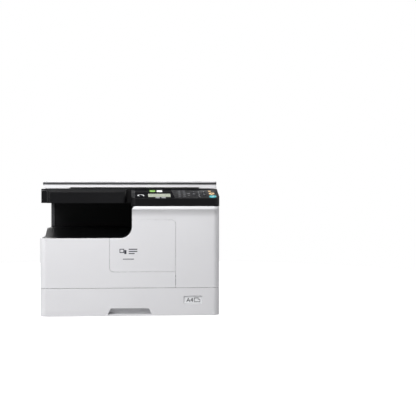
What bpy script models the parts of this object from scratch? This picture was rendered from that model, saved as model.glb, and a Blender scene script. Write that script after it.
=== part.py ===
"""Desktop A3 photocopier: paper tray, print engine, delivery bay, flatbed scanner and platen cover.

Metres. +X is to the right, +Y runs to the back, +Z is up; the origin lies on the ground under the middle.
"""
from math import atan2, cos, radians, sin

import bmesh
import bpy
from mathutils import Matrix, Vector

# Overall size
WIDTH = 0.587
DEPTH = 0.568
HEIGHT = 0.443

# Moulding and fitting
WALL = 0.003            # plastic covers
SHEET = 0.002           # sheet steel
TOUCH = 0.0003          # between pieces that rest on each other
SEAM = 0.0006           # half of the gap between two covers
RUNNING = 0.0005        # between a turning or sliding piece and its guide

# Levels
FOOT_HEIGHT = 0.0037
SKIRT_Z = 0.008         # lower edge of the side and rear covers
TRAY_SEAM_Z = 0.0925    # between paper tray and front covers
LID_THICK = 0.0245
LID_GAP = 0.0015
SCANNER_HEIGHT = 0.047
BAY_HEIGHT = 0.1145     # delivery bay, from the front edge up to the scanner
PANEL_DROP = 0.010      # front covers end this far below the scanner

# Front
FACE_SETBACK = 0.008    # front covers stand back this far from the brow under the panel
CORNER_R = 0.022        # vertical corners at the front
RETURN_LENGTH = 0.030   # front covers wrap round the corner this far
LIP_PROUD = 0.008       # brow along the top of the right cover
LIP_HEIGHT = 0.035
SHOULDER = ((0.0100, 0.0), (0.0070, 0.0004), (0.0040, 0.0013), (0.0018, 0.0024), (0.0005, 0.0034), (0.0, 0.0038))

# Toner door
DOOR_LEFT = -0.0674
DOOR_RIGHT = 0.1484
DOOR_BOTTOM = 0.1455
DOOR_DROP = 0.045       # door top below the front cover's top
DOOR_CORNER_R = 0.014

# Delivery bay
BAY_RIGHT = 0.0057
BAY_CORNER_R = 0.037
BAY_TOP_R = 0.013
BAY_DEPTH = 0.376
BAY_FLAT = 0.146        # level floor before the ramp
RAMP_LENGTH = 0.080
RAMP_RISE = 0.027
FLOOR_DROP = 0.0025     # floor below the front cover's edge
EXIT_SLOT = 0.018
EXIT_ROLLER_DROP = 0.039

# Scanner and platen cover
SCAN_FRONT = 0.057      # scanner front behind the front face, on the left
NOSE_DEPTH = 0.031      # rounded nose in front of it
NOSE_LEFT = 0.0195      # nose end from the left side
NOSE_RIGHT = -0.012
NOSE_R = 0.015
NOSE_BEVEL = 0.011
SCAN_TOP_THICK = 0.005
GLASS_LENGTH = 0.437
GLASS_WIDTH = 0.303
GLASS_LEFT = 0.0655     # glass from the left side
GLASS_THICK = 0.0028
GLASS_LEDGE = 0.002
LID_FRONT = 0.095       # platen cover front behind the front face
LID_REAR = 0.022
LID_SIDE = 0.001
LID_GROOVE = (0.0155, 0.020)    # groove round the edge, above the lower edge
LID_GROOVE_DEPTH = 0.004
LID_GROOVE_SLANT = 0.003        # height of the groove's slanting lower side
LID_TAPER = 0.0015      # the lower band leans back this far up to the groove
LID_RIM = 0.006
GRIP_NOTCH = (0.0875, 0.0575, 0.004)    # from the left side, from the right side, height
HINGE_X = 0.180
HINGE_BACK = 0.014
HINGE_RISE = 0.0095
HINGE_BARREL_R = 0.007
HINGE_PIN_R = 0.003

# Control panel
PANEL_LEFT = 0.003
PANEL_SETBACK = 0.003
PANEL_LIP = 0.0255      # upright front of the panel
PANEL_DEPTH = 0.102
PANEL_RISE = 0.0305
PANEL_CORNER_R = 0.020
KEY_PROUD = 0.0013
KEY_DEEP = 0.006
KEY_CLEAR = 0.0004
KEY_SIZE = (0.0125, 0.0095)
KEY_COLUMNS = (0.0825, 0.0655, 0.0485)  # digit keys, from the right side
KEY_ROWS = (0.070, 0.052, 0.034, 0.016)  # up the slope from the panel's front edge
START_KEY = (0.0215, 0.019, 0.012)      # from the right side, up the slope, radius
STOP_KEY = (0.0225, 0.052, 0.0095)
RESET_KEY = (0.0275, 0.080, 0.0045)

# Paper path: everything that the sheet touches is centred on PAPER_Y
PAPER_FRONT = 0.219     # middle of the sheet behind the machine's front
PAPER_HALF = 0.150
FRAME_FRONT = 0.050     # front frame plate behind the machine's front
FRAME_REAR = 0.082      # rear frame plate before the machine's back
SHAFT_R = 0.004
DRUM_R = 0.015
DRUM_IN = 0.1085        # roller axes, from the right side
TRANSFER_R = 0.008
HOT_R = 0.015
HOT_IN = 0.0815
PRESSURE_R = 0.014
HOT_DROP = 0.070
FEED_R = 0.020
FEED_IN = 0.0785
FEED_RISE = 0.0115
EXIT_R = 0.008
EXIT_ROLLER_X = 0.022

# Toner bottle
BOTTLE_X = 0.070
BOTTLE_R = 0.042
BOTTLE_DROP = 0.0105    # axis below the bay's front edge
BOTTLE_FRONT = 0.020

# Right door with the bypass tray
DOOR_PIVOT_IN = 0.0095
DOOR_PIVOT_BACK = 0.104
SIDE_DOOR_THICK = 0.0285
BYPASS_FLOOR = 0.0225   # recess depth
BYPASS_HALF = 0.165
BYPASS_BOTTOM = 0.1303
BYPASS_DROP = 0.068     # recess top below the scanner
BYPASS_THICK = 0.0104
PAPER_SLOT = (0.140, 0.152)
ARM_THICK = 0.004
BYPASS_GUIDE = (0.0100, 0.040)  # depth and height of a side guide

# Paper tray
BIN_SIDE = 0.0215
BIN_FRONT = 0.0385
BIN_LENGTH = 0.3615
BIN_WALL = 0.0025
BIN_BOTTOM = 0.009
BIN_TOP = 0.078
PLATE_Z = 0.013
PLATE_THICK = 0.0015
PLATE_HINGE_IN = 0.0935     # lift plate hinge, from the left side
PLATE_END_IN = 0.0315
PLATE_HALF = 0.140
FENCE_X = (0.008, 0.102)
FENCE_TRAVEL = 0.076
FENCE_THICK = 0.003
FENCE_TOP = 0.062
END_FENCE_IN = 0.1175
END_FENCE_TRAVEL = 0.200
GRIP = (-0.0736, 0.0694, 0.0097, 0.0059, 0.0259)    # left, right, slant, bottom, top
GRIP_DEPTH = 0.024
SIZE_WINDOW = (0.1188, 0.0585, 0.039, 0.0653)       # from the right side twice, bottom, top
SIZE_WINDOW_DEPTH = 0.004

# Back and left side
REAR_DEPTH = 0.036
REAR_CORNER_R = 0.018
INLET = (0.220, 0.125)
INLET_SIZE = (0.0275, 0.020)
PORT = (0.150, 0.118, 0.190, 0.134)
SWITCH = (0.104, 0.130)     # from the back, height
SWITCH_SIZE = (0.020, 0.026)

# Places that follow from the sizes above
SIDE = WIDTH / 2
FRONT = -DEPTH / 2
BACK = DEPTH / 2
FACE_Y = FRONT + FACE_SETBACK
RETURN_Y = FACE_Y + RETURN_LENGTH
LID_Z = HEIGHT - LID_THICK
SCAN_TOP_Z = LID_Z - LID_GAP
SCAN_Z = SCAN_TOP_Z - SCANNER_HEIGHT
COVER_TOP_Z = SCAN_Z - PANEL_DROP
BAY_Z = SCAN_Z - BAY_HEIGHT
BAY_BACK_Y = FACE_Y + BAY_DEPTH
BAY_FLOOR_Z = BAY_Z - FLOOR_DROP
DOOR_TOP_Z = COVER_TOP_Z - DOOR_DROP
REAR_Y = BACK - REAR_DEPTH
SIDE_Y = (RETURN_Y + 2 * SEAM, REAR_Y - 2 * SEAM)
PAPER_Y = FRONT + PAPER_FRONT
FRAME_FRONT_Y = FRONT + FRAME_FRONT
FRAME_REAR_Y = BACK - FRAME_REAR
DECK_Z = TRAY_SEAM_Z + 0.0015
PANEL_FRONT_Y = FRONT + PANEL_SETBACK
PANEL_Z = COVER_TOP_Z + TOUCH
PANEL_BACK_Y = PANEL_FRONT_Y + PANEL_DEPTH
SLOPE_Z = PANEL_Z + PANEL_LIP
SLOPE_ANGLE = atan2(PANEL_RISE, PANEL_DEPTH)
SCAN_LEFT_Y = FACE_Y + SCAN_FRONT
SCAN_RIGHT_Y = PANEL_BACK_Y + TOUCH
LID_FRONT_Y = FACE_Y + LID_FRONT
LID_BACK_Y = BACK - LID_REAR
LID_X = SIDE - LID_SIDE
GLASS_Y = (LID_FRONT_Y + LID_BACK_Y) / 2
GLASS_X = -SIDE + GLASS_LEFT
HINGE_Y = BACK - HINGE_BACK
HINGE_Z = LID_Z + HINGE_RISE
DRUM_AXIS = (SIDE - DRUM_IN, (TRAY_SEAM_Z + SCAN_Z) / 2 - 0.026)
TRANSFER_AXIS = (DRUM_AXIS[0] + DRUM_R + TRANSFER_R + RUNNING, DRUM_AXIS[1])
HOT_AXIS = (SIDE - HOT_IN, SCAN_Z - HOT_DROP)
PRESSURE_AXIS = (HOT_AXIS[0] + HOT_R + PRESSURE_R + RUNNING, HOT_AXIS[1])
FEED_AXIS = (SIDE - FEED_IN, TRAY_SEAM_Z + FEED_RISE)
EXIT_AXIS = (EXIT_ROLLER_X, SCAN_Z - EXIT_ROLLER_DROP)
BOTTLE_AXIS = (BOTTLE_X, BAY_Z - BOTTLE_DROP)
SIDE_DOOR_PIVOT = (SIDE - DOOR_PIVOT_IN, BACK - DOOR_PIVOT_BACK)
BYPASS_TOP = SCAN_Z - BYPASS_DROP
BYPASS_PIVOT = (SIDE - TOUCH - BYPASS_THICK / 2, BYPASS_BOTTOM + BYPASS_THICK / 2 + RUNNING)
PLATE_HINGE_X = -SIDE + PLATE_HINGE_IN
SWITCH_Y = BACK - SWITCH[0]


def finish(name, colour, roughness, metallic=0.0):
    """A Principled material."""
    material = bpy.data.materials.new(name)
    material.use_nodes = True
    shader = material.node_tree.nodes["Principled BSDF"]
    shader.inputs["Base Color"].default_value = (*colour, 1.0)
    shader.inputs["Roughness"].default_value = roughness
    shader.inputs["Metallic"].default_value = metallic
    material.diffuse_color = (*colour, 1.0)
    return material


def clear_scene():
    for item in list(bpy.data.objects):
        bpy.data.objects.remove(item, do_unlink=True)


def arc(centre_u, centre_v, radius, start, end, steps=6):
    """Points on an arc, both ends included; angles in degrees."""
    angles = [radians(start + (end - start) * step / steps) for step in range(steps + 1)]
    return [(centre_u + radius * cos(a), centre_v + radius * sin(a)) for a in angles]


def circle(centre_u, centre_v, radius, sides=24):
    return arc(centre_u, centre_v, radius, 0, 360, sides)[:-1]


def rounded(low_u, low_v, high_u, high_v, radius, steps=4):
    """Rectangle with four round corners."""
    corners = ((high_u - radius, high_v - radius, 0), (low_u + radius, high_v - radius, 90),
               (low_u + radius, low_v + radius, 180), (high_u - radius, low_v + radius, 270))
    return [point for u, v, turn in corners for point in arc(u, v, radius, turn, turn + 90, steps)]


def in_space(axis, u, v, along):
    """A point of an outline drawn across an axis: X is (y, z), Y is (x, z) and Z is (x, y)."""
    return {"X": (along, u, v), "Y": (u, along, v), "Z": (u, v, along)}[axis]


def prism(outline, axis, start, end):
    """An outline extruded along an axis."""
    bm = bmesh.new()
    face = bm.faces.new([bm.verts.new(in_space(axis, u, v, start)) for u, v in outline])
    grown = bmesh.ops.extrude_face_region(bm, geom=[face])["geom"]
    moved = [item for item in grown if isinstance(item, bmesh.types.BMVert)]
    bmesh.ops.translate(bm, verts=moved, vec=in_space(axis, 0.0, 0.0, end - start))
    bmesh.ops.recalc_face_normals(bm, faces=bm.faces)
    return bm


def block(low, high):
    bm = bmesh.new()
    low, high = Vector(low), Vector(high)
    placed = Matrix.Translation((low + high) / 2) @ Matrix.Diagonal((*(high - low), 1.0))
    bmesh.ops.create_cube(bm, size=1.0, matrix=placed)
    return bm


def rod(axis, centre, radius, start, end, sides=24):
    return prism(circle(*centre, radius, sides), axis, start, end)


def stack(levels):
    """A body of rings: levels holds (height, outline) pairs with equally long outlines."""
    bm = bmesh.new()
    height, outline = levels[0]
    ring = [bm.verts.new((x, y, height)) for x, y in outline]
    face = bm.faces.new(ring)
    for step, (height, outline) in enumerate(levels[1:]):
        order = {vert.co.to_tuple(7): index for index, vert in enumerate(ring)}
        grown = bmesh.ops.extrude_face_region(bm, geom=[face])["geom"]
        if step:
            bmesh.ops.delete(bm, geom=[face], context="FACES_ONLY")
        face = next(item for item in grown if isinstance(item, bmesh.types.BMFace))
        moved = [item for item in grown if isinstance(item, bmesh.types.BMVert)]
        ring = sorted(moved, key=lambda vert: order[vert.co.to_tuple(7)])
        for vert, (x, y) in zip(ring, outline):
            vert.co = (x, y, height)
    bmesh.ops.recalc_face_normals(bm, faces=bm.faces)
    return bm


def as_object(name, bm):
    mesh = bpy.data.meshes.new(name)
    bm.to_mesh(mesh)
    bm.free()
    item = bpy.data.objects.new(name, mesh)
    bpy.context.scene.collection.objects.link(item)
    return item


def combined(base, tools, operation):
    """The base with each tool cut away from it, joined to it or kept in common with it."""
    target = as_object("target", base)
    helpers = [as_object("tool", tool) for tool in tools]
    for helper in helpers:
        modifier = target.modifiers.new("shape", "BOOLEAN")
        modifier.operation = operation
        modifier.solver = "EXACT"
        modifier.object = helper
    shaped = target.evaluated_get(bpy.context.evaluated_depsgraph_get()).to_mesh()
    result = bmesh.new()
    result.from_mesh(shaped)
    for item in [target, *helpers]:
        mesh = item.data
        bpy.data.objects.remove(item, do_unlink=True)
        bpy.data.meshes.remove(mesh)
    return result


def cut(base, *tools):
    return combined(base, tools, "DIFFERENCE")


def join(base, *tools):
    return combined(base, tools, "UNION")


def common(base, *tools):
    return combined(base, tools, "INTERSECT")


def part(name, bm, material, origin=(0.0, 0.0, 0.0), smooth=False):
    """A named piece with its origin on its joint or at the machine's own origin."""
    bmesh.ops.dissolve_limit(bm, angle_limit=radians(0.1), verts=bm.verts, edges=bm.edges)
    bmesh.ops.translate(bm, verts=bm.verts, vec=-Vector(origin))
    item = as_object(name, bm)
    item.location = origin
    item.data.materials.clear()
    item.data.materials.append(material)
    if smooth:
        item.data.shade_smooth()
        item.data.set_sharp_from_angle(angle=radians(35))
    return item


def front_path(left, right, proud, inset):
    """Plan line of a front skin; None as an end wraps it round the machine's corner."""
    turn_y = FACE_Y + CORNER_R
    radius = CORNER_R - inset
    points = []
    if left is None:
        points.append((-SIDE + inset, RETURN_Y))
        points += arc(-SIDE + CORNER_R, turn_y, radius, 180, 270)
    else:
        points.append((left, FACE_Y + inset))
    if right is None:
        points += arc(SIDE - CORNER_R, turn_y, radius, 270, 360)
        points.append((SIDE - inset, RETURN_Y))
    else:
        points.append((right, FACE_Y + inset))
    return [(x, y - proud * max(0.0, min(1.0, (turn_y - y) / radius))) for x, y in points]


def front_skin(left, right, levels):
    """A front cover: levels holds (height, how far it stands proud) pairs."""
    rings = [(height, front_path(left, right, proud, 0.0) + front_path(left, right, proud, WALL)[::-1])
             for height, proud in levels]
    return stack(rings)


def slots(axis, u_range, v_range, count, along):
    """A row of ventilation slots through a cover, stacked along v."""
    pitch = (v_range[1] - v_range[0]) / count
    rows = [v_range[0] + pitch * (row + 0.5) for row in range(count)]
    half = 0.0014
    return [prism(rounded(u_range[0], v - half, u_range[1], v + half, half * 0.9, 2), axis, *along)
            for v in rows]


def door_outline(grow):
    """Toner door seen from the front; its upper left edge follows the bay's round corner."""
    left, right = DOOR_LEFT - grow, DOOR_RIGHT + grow
    bottom, top = DOOR_BOTTOM - grow, DOOR_TOP_Z + grow
    radius = DOOR_CORNER_R
    bay_r = BAY_CORNER_R
    points = arc(left + radius, bottom + radius, radius, 180, 270, 5)
    points += [(right, bottom)]
    points += arc(right - radius, top - radius, radius, 0, 90, 5)
    points += [(BAY_RIGHT, top)]
    points += arc(BAY_RIGHT - bay_r, BAY_Z + bay_r, bay_r, 0, -90, 8)
    points += [(left, BAY_Z)]
    return points


def on_slope(bm):
    """Moves a piece drawn on the flat, with z as the height above it, onto the panel's slope."""
    slope = Matrix.Translation((0.0, PANEL_FRONT_Y, SLOPE_Z)) @ Matrix.Rotation(SLOPE_ANGLE, 4, "X")
    bm.transform(slope)
    return bm


def make_frame(steel):
    """Base pan with its deck, and the two upright plates that carry the rollers."""
    side = SIDE - 0.0095
    pan_bottom = FOOT_HEIGHT + TOUCH
    front_y, back_y = FRONT + 0.044, BACK - 0.014
    pan = cut(
        block((-side, front_y, pan_bottom), (side, back_y, DECK_Z)),
        block((-side + SHEET, front_y - 0.01, pan_bottom + SHEET),
              (side - SHEET, back_y - SHEET, DECK_Z - SHEET)),
        block((FEED_AXIS[0] - 0.035, PAPER_Y - PAPER_HALF, DECK_Z - 0.01),
              (FEED_AXIS[0] + 0.047, PAPER_Y + PAPER_HALF, DECK_Z + 0.01)),
    )
    part("base_frame", pan, steel)

    plate_bottom = DECK_Z + TOUCH
    right = SIDE - SIDE_DOOR_THICK - WALL
    inner = BAY_RIGHT + WALL + 0.0033
    low_top = BAY_FLOOR_Z - WALL - 0.002
    high_top = COVER_TOP_Z - 0.005
    outline = [(-0.060, plate_bottom), (right, plate_bottom), (right, high_top), (inner, high_top),
               (inner, low_top), (-0.060, low_top)]
    bearings = (DRUM_AXIS, HOT_AXIS, PRESSURE_AXIS, FEED_AXIS, EXIT_AXIS)
    for name, y in (("front_frame_plate", FRAME_FRONT_Y - SHEET), ("rear_frame_plate", FRAME_REAR_Y)):
        holes = [rod("Y", axis, SHAFT_R + TOUCH, y - 0.01, y + 0.01, 16) for axis in bearings]
        if name == "front_frame_plate":
            holes.append(rod("Y", BOTTLE_AXIS, BOTTLE_R + 0.002, y - 0.01, y + 0.01, 32))
        part(name, cut(prism(outline, "Y", y, y + SHEET), *holes), steel)


def make_feet(rubber):
    places = [(x, y) for x in (-SIDE + 0.0635, SIDE - 0.0635) for y in (FRONT + 0.084, BACK - 0.064)]
    for number, (x, y) in enumerate(places, start=1):
        foot = stack([(0.0, circle(x, y, 0.013, 20)), (0.001, circle(x, y, 0.014, 20)),
                      (FOOT_HEIGHT, circle(x, y, 0.014, 20))])
        part(f"foot_{number}", foot, rubber, (x, y, FOOT_HEIGHT), smooth=True)


def make_front_covers(white):
    """Left and right front covers; the toner door fills the window between them."""
    through = (FACE_Y - 0.02, FACE_Y + 0.02)
    seam = DOOR_RIGHT
    bottom = TRAY_SEAM_Z + SEAM
    window = door_outline(SEAM)
    above_door = block((DOOR_LEFT - SEAM, through[0], DOOR_BOTTOM + 2 * DOOR_CORNER_R),
                       (seam + 0.01, through[1], BAY_Z + 0.01))
    left = front_skin(None, seam - SEAM, [(bottom, 0.0), (BAY_Z, 0.0)])
    part("front_left_cover", cut(left, prism(window, "Y", *through), above_door), white)

    top = COVER_TOP_Z
    swell = LIP_HEIGHT - SHOULDER[0][0]
    lip = [(bottom, 0.0), (top - LIP_HEIGHT, 0.0)]
    lip += [(top - LIP_HEIGHT + swell * step / 5, LIP_PROUD * (step / 5) ** 2) for step in (1, 2, 3, 4)]
    lip += [(top - drop, LIP_PROUD - back) for drop, back in SHOULDER]
    right = front_skin(BAY_RIGHT, None, lip)
    corner = [(BAY_RIGHT - 0.001, top + 0.001), (BAY_RIGHT - 0.001, top - BAY_TOP_R)]
    corner += arc(BAY_RIGHT + BAY_TOP_R, top - BAY_TOP_R, BAY_TOP_R, 180, 90, 6)
    corner += [(BAY_RIGHT + BAY_TOP_R, top + 0.001)]
    below = block((BAY_RIGHT - 0.01, through[0], 0.0), (seam + SEAM, through[1], DOOR_BOTTOM + DOOR_CORNER_R))
    behind = block((BAY_RIGHT - 0.01, through[0], DOOR_BOTTOM),
                   (seam + SEAM, through[1], DOOR_TOP_Z - DOOR_CORNER_R))
    right = cut(right, prism(window, "Y", *through), prism(corner, "Y", *through), below, behind)
    part("front_right_cover", right, white)


def make_toner_door(white):
    """Front door over the toner bottle, hinged along the outer corner of its lower edge."""
    hinge = (DOOR_LEFT, FACE_Y, DOOR_BOTTOM)
    door = prism(door_outline(0.0), "Y", FACE_Y, FACE_Y + WALL)
    part("toner_door", door, white, hinge)


def make_side_covers(white):
    left = prism([(SIDE_Y[0], SKIRT_Z), (SIDE_Y[1], SKIRT_Z), (SIDE_Y[1], BAY_Z), (SIDE_Y[0], BAY_Z)],
                 "X", -SIDE, -SIDE + WALL)
    through = (-SIDE - 0.01, -SIDE + 0.01)
    vents = slots("X", (SIDE_Y[0] + 0.050, SIDE_Y[0] + 0.170), (TRAY_SEAM_Z + 0.060, BAY_Z - 0.030), 8, through)
    half_y, half_z = SWITCH_SIZE[0] / 2 + KEY_CLEAR, SWITCH_SIZE[1] / 2 + KEY_CLEAR
    opening = block((through[0], SWITCH_Y - half_y, SWITCH[1] - half_z),
                    (through[1], SWITCH_Y + half_y, SWITCH[1] + half_z))
    part("left_cover", cut(left, opening, *vents), white)

    door_back = SIDE_DOOR_PIVOT[1] + DOOR_PIVOT_IN + 2 * SEAM
    seam_z = TRAY_SEAM_Z
    right = prism([(SIDE_Y[0], SKIRT_Z), (SIDE_Y[1], SKIRT_Z), (SIDE_Y[1], COVER_TOP_Z), (door_back, COVER_TOP_Z),
                   (door_back, seam_z), (SIDE_Y[0], seam_z)], "X", SIDE - WALL, SIDE)
    vents = slots("X", (door_back + 0.014, SIDE_Y[1] - 0.010), (TRAY_SEAM_Z + 0.080, COVER_TOP_Z - 0.040), 16,
                  (SIDE - 0.01, SIDE + 0.01))
    part("right_cover", cut(right, *vents), white)


def make_rear_cover(white):
    bottom, top = SKIRT_Z, SCAN_Z - TOUCH
    outer = [(-SIDE, REAR_Y)]
    outer += arc(-SIDE + REAR_CORNER_R, BACK - REAR_CORNER_R, REAR_CORNER_R, 180, 90)
    outer += arc(SIDE - REAR_CORNER_R, BACK - REAR_CORNER_R, REAR_CORNER_R, 90, 0)
    outer += [(SIDE, REAR_Y)]
    inner = [(SIDE - WALL, REAR_Y)]
    inner += arc(SIDE - REAR_CORNER_R, BACK - REAR_CORNER_R, REAR_CORNER_R - WALL, 0, 90)
    inner += arc(-SIDE + REAR_CORNER_R, BACK - REAR_CORNER_R, REAR_CORNER_R - WALL, 90, 180)
    inner += [(-SIDE + WALL, REAR_Y)]
    shell = prism(outer + inner, "Z", bottom, top)
    through = (BACK - 0.01, BACK + 0.01)
    vents = slots("Y", (-0.170, -0.050), (TRAY_SEAM_Z + 0.050, SCAN_Z - 0.090), 12, through)
    half_x, half_z = INLET_SIZE[0] / 2 + TOUCH, INLET_SIZE[1] / 2 + TOUCH
    inlet_hole = block((INLET[0] - half_x, through[0], INLET[1] - half_z),
                       (INLET[0] + half_x, through[1], INLET[1] + half_z))
    port_hole = block((PORT[0], through[0], PORT[1]), (PORT[2], through[1], PORT[3]))
    part("rear_cover", cut(shell, inlet_hole, port_hole, *vents), white)


def make_bay(black):
    """Delivery tray with its ramp and round right corner, and the walls round the bay."""
    left, right = -SIDE + WALL + TOUCH, BAY_RIGHT - TOUCH
    front_y, back_y = FACE_Y + WALL + TOUCH, BAY_BACK_Y - TOUCH
    foot_y, head_y = FACE_Y + BAY_FLAT, FACE_Y + BAY_FLAT + RAMP_LENGTH
    floor, shelf = BAY_FLOOR_Z, BAY_FLOOR_Z + RAMP_RISE
    top_line = [(front_y, floor), (foot_y, floor), (head_y, shelf), (back_y, shelf)]
    inside = 0.001
    slab = prism(top_line + [(y, z - WALL) for y, z in top_line[::-1]], "X", left, right - inside)
    sunk = WALL / 2
    skirt = prism([(foot_y, floor - sunk), (head_y, shelf - sunk), (back_y, shelf - sunk), (back_y, floor - WALL),
                   (foot_y, floor - WALL)], "X", left, left + WALL)
    centre = (BAY_RIGHT - BAY_CORNER_R, BAY_Z + BAY_CORNER_R)
    radius = BAY_CORNER_R - TOUCH
    fillet = arc(*centre, radius, 0, -90, 8) + [(centre[0], floor - WALL), (right, floor - WALL)]
    fillet = prism(fillet, "Y", front_y, back_y - inside)
    turn = (-SIDE + CORNER_R, FACE_Y + CORNER_R)
    corner = [(left - 0.01, front_y - 0.01), (left - 0.01, turn[1])]
    corner += arc(*turn, CORNER_R - WALL - 2 * TOUCH, 180, 270) + [(turn[0], front_y - 0.01)]
    part("output_tray", cut(join(slab, skirt, fillet), prism(corner, "Z", 0.0, HEIGHT)), black)

    wall_x = -SIDE + WALL
    plan = [(BAY_RIGHT, front_y), (BAY_RIGHT + WALL, front_y), (BAY_RIGHT + WALL, BAY_BACK_Y + WALL),
            (wall_x + WALL, BAY_BACK_Y + WALL), (wall_x + WALL, SIDE_Y[1]), (wall_x, SIDE_Y[1]),
            (wall_x, BAY_BACK_Y), (BAY_RIGHT, BAY_BACK_Y)]
    slot_half = PAPER_HALF + 0.005
    exit_slot = block((BAY_RIGHT - 0.01, PAPER_Y - slot_half, EXIT_AXIS[1] - EXIT_SLOT / 2),
                      (BAY_RIGHT + 0.01, PAPER_Y + slot_half, EXIT_AXIS[1] + EXIT_SLOT / 2))
    under_panel = block((BAY_RIGHT - 0.01, FRONT, COVER_TOP_Z), (BAY_RIGHT + 0.01, SCAN_RIGHT_Y, SCAN_Z + 0.01))
    part("bay_wall", cut(prism(plan, "Z", BAY_Z + TOUCH, SCAN_Z - TOUCH), exit_slot, under_panel), black)


def scan_plan(inset):
    """Plan of the scanner housing: the right part stands back for the control panel."""
    return [(-SIDE + inset, SCAN_LEFT_Y + inset), (PANEL_LEFT - inset, SCAN_LEFT_Y + inset),
            (PANEL_LEFT - inset, SCAN_RIGHT_Y + inset), (SIDE - inset, SCAN_RIGHT_Y + inset),
            (SIDE - inset, BACK - inset), (-SIDE + inset, BACK - inset)]


def make_scanner(black, glass_clear, steel):
    frame_bottom = SCAN_TOP_Z - SCAN_TOP_THICK
    rim = frame_bottom - TOUCH
    nose_front = SCAN_LEFT_Y - NOSE_DEPTH
    nose_profile = [(nose_front, SCAN_Z), (nose_front, SCAN_TOP_Z - NOSE_BEVEL),
                    (nose_front + NOSE_BEVEL, SCAN_TOP_Z), (SCAN_LEFT_Y - TOUCH, SCAN_TOP_Z),
                    (SCAN_LEFT_Y - TOUCH, rim), (SCAN_LEFT_Y + WALL / 2, rim), (SCAN_LEFT_Y + WALL / 2, SCAN_Z)]
    nose_left, nose_right = -SIDE + NOSE_LEFT, NOSE_RIGHT
    nose = common(prism(nose_profile, "X", nose_left, nose_right),
                  prism(rounded(nose_left, nose_front, nose_right, nose_front + 0.08, NOSE_R, 5),
                        "Z", SCAN_Z - 0.01, SCAN_TOP_Z + 0.01))
    hollow = prism(scan_plan(WALL), "Z", SCAN_Z + WALL, rim + 0.01)
    housing = cut(prism(scan_plan(0.0), "Z", SCAN_Z, rim), hollow)
    skirt = block((SIDE - WALL, SCAN_RIGHT_Y, COVER_TOP_Z + SEAM), (SIDE, REAR_Y - SEAM, SCAN_Z + WALL / 2))
    part("scanner_base", join(housing, nose, skirt), black)

    seat = (GLASS_X - GLASS_LEDGE, GLASS_X + GLASS_LENGTH + GLASS_LEDGE)
    half = GLASS_WIDTH / 2
    glass_bottom = SCAN_TOP_Z - GLASS_THICK
    opening = block((GLASS_X, GLASS_Y - half, frame_bottom - 0.01), (seat[1] - GLASS_LEDGE, GLASS_Y + half, HEIGHT))
    recess = block((seat[0], GLASS_Y - half - GLASS_LEDGE, glass_bottom - TOUCH),
                   (seat[1], GLASS_Y + half + GLASS_LEDGE, HEIGHT))
    part("scanner_top_frame", cut(prism(scan_plan(0.0), "Z", frame_bottom, SCAN_TOP_Z), opening, recess), black)
    pane = block((seat[0] + TOUCH, GLASS_Y - half - GLASS_LEDGE + TOUCH, glass_bottom),
                 (seat[1] - TOUCH, GLASS_Y + half + GLASS_LEDGE - TOUCH, SCAN_TOP_Z))
    part("exposure_glass", pane, glass_clear)

    rod_axis = (GLASS_Y + 0.110, SCAN_Z + 0.016)
    part("carriage_rod", rod("X", rod_axis, SHAFT_R, -SIDE + WALL + RUNNING, SIDE - WALL - RUNNING, 16), steel,
         smooth=True)
    left = GLASS_X - 0.022
    half = GLASS_WIDTH / 2 + 0.0085
    body = block((left, GLASS_Y - half, SCAN_Z + 0.008), (left + 0.028, GLASS_Y + half, SCAN_Z + 0.035))
    lamp_slot = block((left + 0.008, GLASS_Y - half + 0.012, SCAN_Z + 0.030),
                      (left + 0.020, GLASS_Y + half - 0.012, SCAN_Z + 0.040))
    bore = rod("X", rod_axis, SHAFT_R + TOUCH, left - 0.01, left + 0.04, 16)
    part("scan_carriage", cut(body, lamp_slot, bore), black, (left, GLASS_Y, SCAN_Z + 0.016))


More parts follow.
